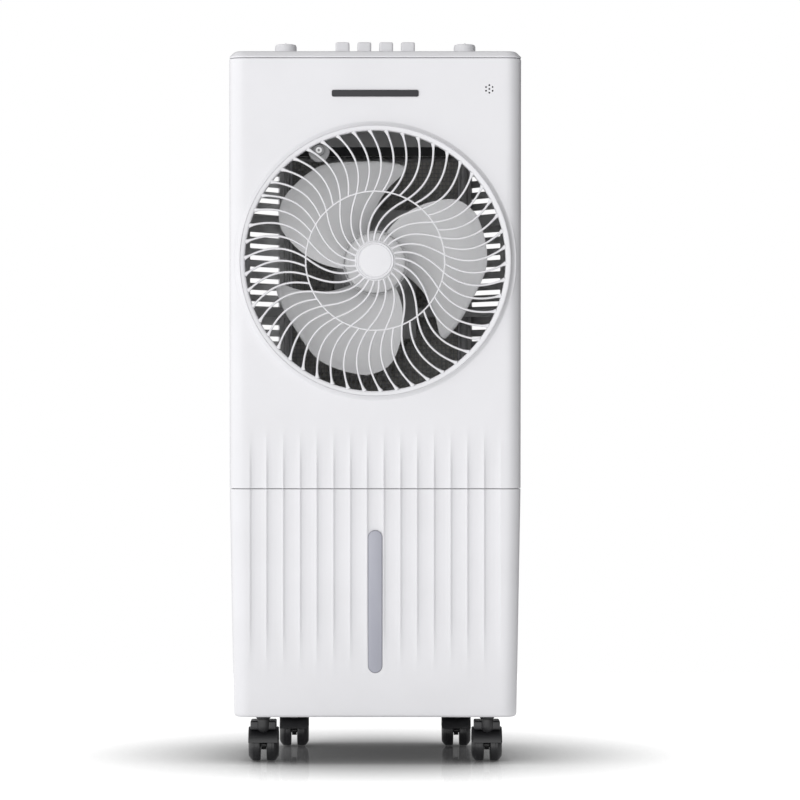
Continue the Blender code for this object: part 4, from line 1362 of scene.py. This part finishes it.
def makeCasters():
    shapes = {"Hood": hoodMesh(), "Wheels": wheelMesh(), "Socket": socketMesh()}
    for place in ("front_left", "front_right", "rear_left", "rear_right"):
        stem = middleOf("caster_socket_" + place)
        first, second = place.split("_")
        label = first + second.capitalize()
        move = (stem.x, stem.y, 0)
        for kind, body, node in (
            ("Hood", "caster_" + place, "caster_hood_"),
            ("Wheels", "wheels_" + place, "caster_wheels_"),
            ("Socket", "cabinet", "caster_socket_"),
        ):
            settle(shifted(shapes[kind], label + kind, move), body, "black_plastic", node + place)
    for shape in shapes.values():
        bpy.data.objects.remove(shape)


makeCasters()
print("casters made")


# Rear cassette: frame, slats, pad, screen and pull

cassette = {
    "rows": 10,
    "columns": 3,
    "slats": 3,
    "slatThick": 0.0014,
    "slatTilt": 32,
    "gridPitch": 0.0044,
    "gridBar": 0.0009,
    "screenPitch": 0.0030,
    "screenBar": 0.0005,
    "cellWide": 0.0085,
    "cellHigh": 0.0110,
    "cellDeep": 0.0030,
    "padColumns": 110,
    "padRows": 200,
    "tray": (0.0947, 0.0931, 0.3352, 0.6530),  # outer and inner half, bottom and top
}
plateLow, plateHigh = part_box("cassette_frame")
padLow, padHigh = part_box("cooling_pad")
plateFront = 0.1385


def cassetteWindows():
    # (x, x, z, z) of each opening in the plate
    _, low, high = cabinet["hole"]
    pitch = (high - low - 0.012) / cassette["rows"]
    width = (2 * padHigh.x - 0.010) / cassette["columns"]
    found = []
    for row in range(cassette["rows"]):
        z = low + 0.008 + row * pitch
        for column in range(cassette["columns"]):
            x = -padHigh.x + 0.005 + column * width
            found.append((x + 0.002, x + width - 0.002, z, z + pitch - 0.0065))
    return found


def cassetteFrame():
    outline = roundRect(plateLow.x, plateHigh.x, plateLow.z, plateHigh.z, 0.006, 6)
    plate = prism("cassetteFrame", outline, plateFront, plateHigh.y, "Y", 0.0009, 3)
    out, into, low, high = cassette["tray"]
    sides = [
        (-out, high), (-out, low), (out, low), (out, high), (into, high), (into, low + 0.0018),
        (-into, low + 0.0018), (-into, high),
    ]
    boolean(plate, prism("tray", sides, plateLow.y, plateFront + 0.001, "Y"), "UNION")
    bm = bmesh.new()
    for left, right, low, high in cassetteWindows():
        outline = roundRect(left, right, low, high, 0.0030, 4)
        addPrism(bm, outline, 0.130, 0.150, "Y")
    boolean(plate, fromBmesh("windows", bm))
    bm = bmesh.new()
    tilt = math.radians(cassette["slatTilt"])
    along, across = directions(tilt)
    thick = cassette["slatThick"] / 2
    for left, right, low, high in cassetteWindows():
        for i in range(cassette["slats"]):
            z = low + (high - low) * (i + 0.5) / cassette["slats"]
            centre = Vector(((plateFront + plateHigh.y) / 2, z))
            corners = [
                centre + along * a * 0.0024 + across * b * thick
                for a, b in ((-1, -1), (1, -1), (1, 1), (-1, 1))
            ]
            outline = rounded([tuple(p) for p in corners], 0.0005, 3)
            addPrism(bm, outline, left - 0.0006, right + 0.0006, "X")
    boolean(plate, fromBmesh("slats", bm), "UNION")
    return settle(reshade(plate, 32), "cassette", "white_plastic", "cassette_frame")


def coolingPad():
    # a honeycomb of fluted paper, open front and back
    columns, rows = cassette["padColumns"], cassette["padRows"]
    bm = bmesh.new()
    grids = []
    for side, face in ((1, padLow.y), (-1, padHigh.y)):
        grid = []
        for i in range(rows + 1):
            z = padLow.z + (padHigh.z - padLow.z) * i / rows
            row = []
            for j in range(columns + 1):
                x = padLow.x + (padHigh.x - padLow.x) * j / columns
                wave = math.cos(2 * math.pi * x / cassette["cellWide"])
                wave *= math.cos(2 * math.pi * z / cassette["cellHigh"])
                inside = 0 < i < rows and 0 < j < columns
                cut = cassette["cellDeep"] * (0.5 + 0.5 * wave) if inside else 0
                row.append(bm.verts.new((x, face + side * cut, z)))
            grid.append(row)
        grids.append(grid)
    front, back = grids
    for grid in grids:
        for low, high in zip(grid, grid[1:]):
            for j in range(columns):
                bm.faces.new((low[j], low[j + 1], high[j + 1], high[j]))
    for low, high in zip(range(rows), range(1, rows + 1)):
        for j in (0, -1):
            bm.faces.new((front[low][j], front[high][j], back[high][j], back[low][j]))
    for i in (0, -1):
        for j in range(columns):
            bm.faces.new((front[i][j], front[i][j + 1], back[i][j + 1], back[i][j]))
    return settle(fromBmesh("coolingPad", bm, 60), "cassette", "cooling_pad", "cooling_pad")


def padGrids():
    c = cassette
    sides, levels = (padLow.x, padHigh.x), (padLow.z, padHigh.z)
    front = lattice("padGrid", sides, levels, (0.0864, 0.0892), c["gridPitch"], c["gridBar"])
    settle(front, "cassette", "dark_grey_plastic")
    low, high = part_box("dust_screen")
    screen = lattice(
        "dustScreen", (low.x, high.x), (low.z, high.z), (low.y + 0.0004, high.y - 0.0004),
        c["screenPitch"], c["screenBar"],
    )
    edge = [(low.x, high.x, low.y, high.y, z, z + 0.003) for z in (low.z, high.z - 0.003)]
    edge += [(x, x + 0.003, low.y, high.y, low.z, high.z) for x in (low.x, high.x - 0.003)]
    whole = join("dustScreen", [screen, bars("screenEdge", edge)])
    settle(whole, "cassette", "dark_grey_plastic", "dust_screen")


def cassettePull():
    low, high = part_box("cassette_pull")
    radius = (high.z - low.z) / 2
    outline = roundRect(low.x, high.x, low.z, high.z, radius * 0.9, 8)
    pull = prism("cassettePull", outline, low.y, high.y, "Y", 0.0008, 3)
    left, right, front = low.x + 0.008, high.x - 0.008, high.y - 0.0008
    grooves = []
    for i in range(3):
        z = low.z + 0.0030 + i * 0.0030
        grooves.append((left, right, front, high.y + 0.001, z, low.z + 0.0042 + i * 0.0030))
    boolean(pull, bars("grooves", grooves))
    return settle(reshade(pull), "cassette", "white_plastic", "cassette_pull")


rails = {"out": 0.1070, "in": 0.0958, "front": 0.0880, "back": 0.1335, "low": 0.3240, "high": 0.6560}


def cassetteRails():
    # stepped guides that the cassette slides between, fixed to the housing
    made = []
    for side in (-1, 1):
        r = rails
        steps = [
            (r["in"], r["back"]), (r["in"], 0.0900), (0.0975, 0.0890), (0.0985, 0.0915),
            (0.1010, 0.0915), (0.1020, r["front"]), (r["out"], r["front"]),
            (r["out"], r["back"] - 0.004),
        ]
        outline = [(side * x, y) for x, y in steps]
        made.append(prism("rail", outline, r["low"], r["high"], "Z", 0.0003, 1))
    # white rails in the inside grey: painted shade
    return settle(join("cassetteRails", made), "cabinet", "white_plastic", finish=paintedInsideFinish)


cassetteFrame()
coolingPad()
padGrids()
cassettePull()
cassetteRails()
print("cassette made")


# Water pieces

tray = {"teeth": 0.0055, "gap": 0.0032, "step": 0.6685}


def distributorTray():
    low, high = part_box("distributor_tray")
    body = block("distributorTray", low, high, 0.0008)
    start, end = (low.x + 0.002, low.y + 0.002, low.z + 0.002), (
        high.x - 0.002, high.y - 0.002, high.z + 0.01
    )
    boolean(body, block("trough", start, end))
    count = int((high.x - low.x - 0.008) / tray["teeth"])
    start = -count * tray["teeth"] / 2
    slots = []
    for i in range(count):
        x = start + i * tray["teeth"] + (tray["teeth"] - tray["gap"]) / 2
        slots.append((x, x + tray["gap"], low.y - 0.001, low.y + 0.0014, low.z - 0.001, tray["step"]))
    boolean(body, bars("combGaps", slots))
    drips = [(i * 0.022 - 0.002, i * 0.022 + 0.002, 0.100, 0.106, 0.65, 0.67) for i in range(-4, 5)]
    boolean(body, bars("drips", drips))
    # the dark grey tray takes the lighter inside grey: painted light on its front band
    return settle(reshade(body), "cabinet", "dark_grey_plastic", "distributor_tray", finish=paintedInsideFinish)


hose = {
    "radius": 0.0045,
    "spacing": 0.006,
    "bends": (
        (0.0975, 0.0780, 0.694), (0.0900, 0.0900, 0.713), (0.0820, 0.1020, 0.706),
        (0.0800, 0.1040, 0.680),
    ),
}


def waterHose():
    # straight up from the pump, then over into the trough
    x, y = middleOf("pump_body").x, middleOf("pump_body").y
    points = [Vector((x, y, z)) for z in (0.1385, 0.25, 0.40, 0.55, 0.66)]
    for bend in hose["bends"]:
        points.append(Vector(bend))
    ends = [points[0] * 2 - points[1], *points, points[-1] * 2 - points[-2]]
    route = []
    for a, b, c, d in zip(ends, ends[1:], ends[2:], ends[3:]):
        linear, square, cube = c - a, 2 * a - 5 * b + 4 * c - d, 3 * b - a - 3 * c + d
        steps = max(1, round((c - b).length / hose["spacing"]))
        for i in range(steps):
            t = i / steps
            route.append(0.5 * (2 * b + linear * t + square * t**2 + cube * t**3))
    route.append(points[-1])
    curve = bpy.data.curves.new("waterHose", "CURVE")
    curve.dimensions = "3D"
    curve.bevel_depth = hose["radius"]
    curve.bevel_resolution = 7
    curve.use_fill_caps = True
    spline = curve.splines.new("POLY")
    spline.points.add(len(route) - 1)
    for target, point in zip(spline.points, route):
        target.co = (*point, 1)
    tube = bpy.data.objects.new("waterHose", curve)
    scene.collection.objects.link(tube)
    return settle(tube, "cabinet", "dark_grey_plastic", "water_hose")


pump = {"slots": 9, "slotPitch": 0.0046, "slotHalf": 0.0009, "vanes": 3, "vaneReach": 0.0130}


def pumpPieces():
    x, y, _ = middleOf("pump_body")
    low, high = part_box("pump_body")
    wide = high.x - x
    profile = [
        (0, high.z), (0.0042, high.z), (0.0046, high.z - 0.0004), (0.0044, high.z - 0.003),
        (0.0047, high.z - 0.0034), (0.0046, high.z - 0.010), (0.0195, high.z - 0.010),
        (0.0225, high.z - 0.0112), (wide, high.z - 0.0140), (wide, 0.0960), (wide - 0.0006, 0.0955),
        (wide - 0.0006, 0.0925), (wide, 0.0920), (wide, low.z), (0.0215, low.z), (0.0215, 0.0880),
        (0, 0.0880),
    ]
    settle(turned("pumpBody", profile, (x, y, 0), "Z", 72), "cabinet", "black_plastic", "pump_body")
    low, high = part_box("pump_strainer")
    profile = [
        (0, high.z), (0.0050, high.z), (0.0050, 0.0575), (0.0215, 0.0575), (0.0215, high.z),
        (wide, high.z), (wide, low.z + 0.0008), (wide - 0.0008, low.z), (0, low.z),
    ]
    strainer = turned("pumpStrainer", profile, (x, y, 0), "Z", 72)
    cuts = []
    for i in range(pump["slots"]):
        u = x + (i - pump["slots"] // 2) * pump["slotPitch"]
        cuts.append((u - pump["slotHalf"], u + pump["slotHalf"], y - 0.03, y + 0.03, 0.0600, 0.0660))
    boolean(strainer, bars("strainerSlots", cuts))
    settle(reshade(strainer), "cabinet", "black_plastic", "pump_strainer")
    low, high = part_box("pump_impeller")
    profile = [
        (0, high.z), (0.0138, high.z), (0.0140, high.z - 0.0003), (0.0140, 0.0845), (0.0030, 0.0845),
        (0.0030, low.z + 0.0004), (0.0026, low.z), (0, low.z),
    ]
    wheel = turned("pumpImpeller", profile, (x, y, 0), "Z", 48)
    for i in range(pump["vanes"]):
        reach = pump["vaneReach"]
        vane = block("vane", (-reach, -0.0007, 0.0762), (reach, 0.0007, 0.0850))
        vane.data.transform(Matrix.Rotation(math.pi * i / pump["vanes"], 4, "Z"))
        vane.data.transform(Matrix.Translation(Vector((x, y, 0))))
        boolean(wheel, vane, "UNION")
    settle(reshade(wheel), "pump_impeller", "white_plastic", "pump_impeller")


flap = {"half": 0.0013, "corner": 0.004, "bars": 7, "barPitch": 0.004}


def fillFlap():
    low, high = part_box("fill_flap")
    y, half = middleOf("fill_flap").y, flap["half"]
    outline = roundRect(low.x, high.x, low.z + half, high.z, flap["corner"], 6)
    cover = prism("fillFlap", outline, y - half, y + half, "Y", 0.0005, 3)
    for left, right in ((low.x + 0.006, low.x + 0.020), (high.x - 0.020, high.x - 0.006)):
        profile = pin(half, left, right, 0.0001, 0.0002)
        boolean(cover, turned("knuckle", profile, (0, y, low.z + half), "X", 24), "UNION")
    middle = (low.x + high.x) / 2
    lip = []
    for i in range(flap["bars"]):
        x = middle - 0.012 + i * flap["barPitch"]
        lip.append((x, x + 0.0015, y + half - 0.0006, y + half + 0.0006, high.z - 0.011, high.z - 0.004))
    boolean(cover, bars("gripBars", lip, 0.0003, 2), "UNION")
    return settle(reshade(cover), "fill_flap", "white_plastic", "fill_flap")


plug = {"notches": 12, "notchRadius": 0.0013, "notchOut": 0.0006, "stem": 0.0060}


def drainPlug():
    low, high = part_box("drain_plug")
    x, _, z = middleOf("drain_plug")
    wide = high.x - x
    profile = [
        (0, high.y), (0.0066, high.y), (0.0075, high.y - 0.0003), (wide, high.y - 0.0013), (wide, 0.1403)
    ]
    stem = plug["stem"]
    profile += [
        (stem, 0.1403), (stem, 0.1385), (stem - 0.0003, 0.1382), (stem - 0.0003, 0.1366), (stem, 0.1363),
        (stem, low.y + 0.0008), (stem - 0.0006, low.y), (0, low.y),
    ]
    piece = turned("drainPlug", profile, (x, 0, z), "Y", 60)
    reach, radius = wide + plug["notchOut"], plug["notchRadius"]
    notched(piece, plug["notches"], (x, z), reach, radius, 0.1395, high.y + 0.001, 10)
    start, end = (x - 0.0045, high.y - 0.0012, z - 0.0008), (x + 0.0045, high.y + 0.001, z + 0.0008)
    boolean(piece, block("coinSlot", start, end))
    return settle(reshade(piece), "drain_plug", "light_grey_plastic", "drain_plug")


def cordGland():
    low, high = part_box("cord_gland")
    x, _, z = middleOf("cord_gland")
    profile = [(gland["bore"], high.y), (0.0046, high.y), (0.0051, high.y - 0.0004)]
    for i in range(gland["rings"]):
        y = 0.1440 - i * gland["ringPitch"]
        profile += [
            (0.0053 + i * 0.0004, y), (0.0047 + i * 0.0004, y - 0.0003),
            (0.0047 + i * 0.0004, y - 0.0011),
        ]
    flange, inside = gland["flange"], gland["inside"]
    profile += [
        (flange, 0.1390), (flange, 0.1384), (inside, 0.1384), (inside, low.y), (gland["bore"], low.y)
    ]
    piece = turned("cordGland", profile, (x, 0, z), "Y", 48, ring=True)
    return settle(piece, "cabinet", "black_plastic", "cord_gland")


deck = {"inset": 0.0031, "hoseHole": 0.0070, "drain": (-0.080, 0.080, 0.090, 0.125)}


def midDeck():
    low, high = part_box("mid_deck")
    outline = planPoints(halfSeam, deck["inset"], dense=False)
    plate = prism("midDeck", outline, low.z, high.z)
    x, y = middleOf("pump_body").x, middleOf("pump_body").y
    drill(plate, deck["hoseHole"], 0.28, 0.31, (x, y, 0), "Z", 40)
    boolean(plate, prism("drainHole", roundRect(*deck["drain"], 0.004), 0.28, 0.31))
    return settle(reshade(plate), "cabinet", "light_grey_plastic", "mid_deck")


def distributorCombShade():
    # near-black bars along the bottom of the tray's front, a strip behind the comb gaps and teeth before
    # it: painted shade in the comb
    low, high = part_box("distributor_tray")
    ranges = [
        (low.x + 0.003, high.x - 0.003, low.y - 0.0004, low.y + 0.0002, low.z + 0.0003, tray["step"])
    ]
    count = int((high.x - low.x - 0.008) / tray["teeth"])
    for i in range(count):
        x = (i - count / 2) * tray["teeth"]
        end = x + tray["teeth"] - tray["gap"]
        ranges.append((x, end, low.y - 0.0016, low.y - 0.0002, low.z + 0.0008, tray["step"] - 0.003))
    return settle(bars("distributorCombShade", ranges), "cabinet", "dark_grey_plastic", finish=plateAndShadeFinish)


distributorTray()
distributorCombShade()
waterHose()
pumpPieces()
fillFlap()
drainPlug()
cordGland()
midDeck()
print("water pieces made")


# Motor, its bracket and the grille's drive

motor = {
    "stackFront": -0.0150,
    "stackBack": 0.0080,
    "vents": 14,
    "bolts": 4,
    "shaft": 0.0040,
    "nutNotches": 8,
    "notchOut": 0.0008,
    "notchRadius": 0.0019,
}


def fanMotor():
    low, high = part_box("fan_motor")
    wide = high.x
    profile = [
        (0, -0.0080), (0.0044, -0.0080), (0.0044, low.y), (0.0125, low.y), (0.0132, low.y + 0.0006),
        (0.0140, low.y + 0.0050), (0.0155, low.y + 0.0062), (0.0350, low.y + 0.0062),
        (0.0385, low.y + 0.0080), (wide - 0.0012, low.y + 0.0120), (wide - 0.0012, motor["stackFront"]),
        (wide, motor["stackFront"]), (wide, motor["stackBack"]), (wide - 0.0012, motor["stackBack"]),
        (wide - 0.0012, high.y - 0.0080), (0.0390, high.y - 0.0015), (0.0375, high.y), (0, high.y),
    ]
    can = turned("fanMotor", profile, (0, 0, hubAxis.z), "Y", 96)
    bm = bmesh.new()
    for i in range(motor["vents"]):
        a = 2 * math.pi * i / motor["vents"]
        along, across = directions(a)
        corners = [
            along * r + across * w
            for r, w in ((0.020, -0.0016), (0.033, -0.0024), (0.033, 0.0024), (0.020, 0.0016))
        ]
        outline = rounded([tuple(p) for p in corners], 0.0012, 3)
        addRings(bm, [[(u, y, hubAxis.z + v) for u, v in outline] for y in (low.y, low.y + 0.010)])
    boolean(can, fromBmesh("vents", bm))
    return settle(reshade(can), "cabinet", "dark_grey_plastic", "fan_motor")


bracket = {
    "half": 0.045,
    "armHalf": 0.005,
    "arms": (-0.0507, 0.0504),  # from the fan's axis
    "corner": 0.003,
    "bead": 0.0012,
    "hole": 0.0023,
}


def motorBracket():
    low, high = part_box("motor_bracket")
    half, armHalf, reach = bracket["half"], bracket["armHalf"], high.x
    arms = [hubAxis.z + up for up in bracket["arms"]]
    outline = [(-half, low.z), (half, low.z)]
    for arm in arms:
        outline += [
            (half, arm - armHalf), (reach, arm - armHalf), (reach, arm + armHalf), (half, arm + armHalf)
        ]
    outline += [(half, high.z), (-half, high.z)]
    for arm in reversed(arms):
        outline += [
            (-half, arm + armHalf), (-reach, arm + armHalf), (-reach, arm - armHalf),
            (-half, arm - armHalf),
        ]
    plate = prism("motorBracket", rounded(outline, bracket["corner"], 4), low.y, high.y, "Y", 0.0004, 2)
    depth = (high.y - 0.0005, high.y + 0.0008)
    bead = bracket["bead"]
    beads = [(-0.130, 0.130, *depth, arm - bead, arm + bead) for arm in arms]
    beads += [(x - bead, x + bead, *depth, arms[0] + 0.008, arms[1] - 0.008) for x in (-0.038, 0.038)]
    boolean(plate, bars("beads", beads, 0.0004, 2), "UNION")
    for i in range(motor["bolts"]):
        place = middleOf(f"motor_screw_{i + 1}")
        drill(plate, bracket["hole"], 0.02, 0.05, (place.x, 0, place.z), "Y", 24)
    return settle(reshade(plate), "cabinet", "dark_grey_plastic", "motor_bracket")


def screwMesh(name, seat, head=0.0042, shank=0.0019, depth=0.003):
    # a pan head with a cross recess, about the Y axis, seated at y = seat
    profile = [
        (0, seat - depth), (shank, seat - depth), (shank, seat), (head, seat), (head, seat + 0.0008),
        (head - 0.0006, seat + 0.0019), (head - 0.0016, seat + 0.0025), (0, seat + 0.0027),
    ]
    screw = turned(name, profile, (0, 0, 0), "Y", 32)
    for wide, high in ((0.0024, 0.0005), (0.0005, 0.0024)):
        boolean(screw, block("recess", (-wide, seat + 0.0014, -high), (wide, seat + 0.004, high)))
    return reshade(screw)


def motorScrews():
    for i in range(motor["bolts"]):
        node = f"motor_screw_{i + 1}"
        place = middleOf(node)
        screw = screwMesh(f"motorScrew{i + 1}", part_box("motor_bracket")[1].y + 0.0003, depth=0.0031)
        screw.data.transform(Matrix.Translation(Vector((place.x, 0, place.z))))
        settle(screw, "cabinet", "steel", node)


housingPlaces = {
    "TopLeft": (-0.084, 0.724),
    "TopRight": (0.084, 0.724),
    "LowLeft": (-0.080, 0.309),
    "LowRight": (0.060, 0.309),
}


def housingScrews():
    # four screws that hold the rear housing
    shape = screwMesh("shape", rearY, head=0.0036, shank=0.0016, depth=0.006)
    for name, (x, z) in housingPlaces.items():
        settle(shifted(shape, "housingScrew" + name, (x, 0, z)), "cabinet", "steel")
    bpy.data.objects.remove(shape)


def motorCapacitor():
    low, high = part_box("motor_capacitor")
    case = block("motorCapacitor", low, (high.x, high.y, high.z - 0.0015), 0.0012, 3)
    tabs = [
        (x - 0.0015, x + 0.0015, 0.0425, 0.0433, high.z - 0.002, high.z)
        for x in (-0.012, -0.006, 0.006, 0.012)
    ]
    boolean(case, bars("tabs", tabs), "UNION")
    return settle(reshade(case), "cabinet", "black_plastic", "motor_capacitor")


def shaftAndNut():
    low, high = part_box("motor_shaft")
    profile = pin(motor["shaft"], low.y, high.y, 0.0004, 0.0004)
    settle(turned("motorShaft", profile, (0, 0, hubAxis.z), "Y", 48), "fan", "steel", "motor_shaft")
    low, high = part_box("spinner_nut")
    wide = high.x
    profile = [
        (0, low.y), (0.0040, low.y + 0.0002), (0.0080, low.y + 0.0012), (0.0112, low.y + 0.0030),
        (wide - 0.0004, low.y + 0.0055), (wide, low.y + 0.0072), (wide, high.y), (0.0043, high.y),
        (0.0043, low.y + 0.0036), (0, low.y + 0.0036),
    ]
    nut = turned("spinnerNut", profile, (0, 0, hubAxis.z), "Y", 64)
    reach, radius = wide + motor["notchOut"], motor["notchRadius"]
    notched(nut, motor["nutNotches"], (0, hubAxis.z), reach, radius, low.y - 0.001, high.y - 0.0015, 12)
    settle(reshade(nut), "fan", "light_grey_plastic", "spinner_nut")


def swingDrive():
    low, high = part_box("swing_roller")
    x, _, z = middleOf("swing_roller")
    wide = high.x - x
    tyre = [
        (0.0034, low.y), (0.0048, low.y), (0.0056, low.y + 0.0004), (wide, low.y + 0.0012),
        (wide, -0.1300), (0.0056, -0.1292), (0.0048, -0.1288), (0.0015, -0.1288), (0.0015, high.y),
        (0, high.y), (0, low.y + 0.0010), (0.0034, low.y + 0.0010),
    ]
    roller = turned("swingRoller", tyre, (x, 0, z), "Y", 56)
    settle(roller, "swing_roller", "rubber", "swing_roller")
    hub = [
        (0.0013, low.y - 0.0001), (0.0028, low.y - 0.0001), (0.0033, low.y + 0.0002),
        (0.0033, low.y + 0.0009), (0.0013, low.y + 0.0009),
    ]
    settle(turned("rollerHub", hub, (x, 0, z), "Y", 48, ring=True), "swing_roller", "light_grey_plastic")
    low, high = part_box("swing_motor")
    can = [
        (0, -0.1245), (0.0100, -0.1245), (0.0110, -0.1237), (0.0110, -0.1180), (0.0113, -0.1178),
        (0.0113, -0.1165), (0.0110, -0.1163), (0.0110, -0.1088), (0.0102, -0.1080), (0, -0.1080),
    ]
    motorCan = turned("swingMotor", can, (x, 0, z), "Y", 56)
    ear = prism("ear", roundRect(x - 0.006, x + 0.006, z, high.z, 0.002), -0.1225, -0.1185, "Y")
    boolean(motorCan, ear, "UNION")
    settle(reshade(motorCan), "cabinet", "dark_grey_plastic", "swing_motor")


fanMotor()
motorBracket()
motorScrews()
housingScrews()
motorCapacitor()
shaftAndNut()
swingDrive()
print("motor and drive made")
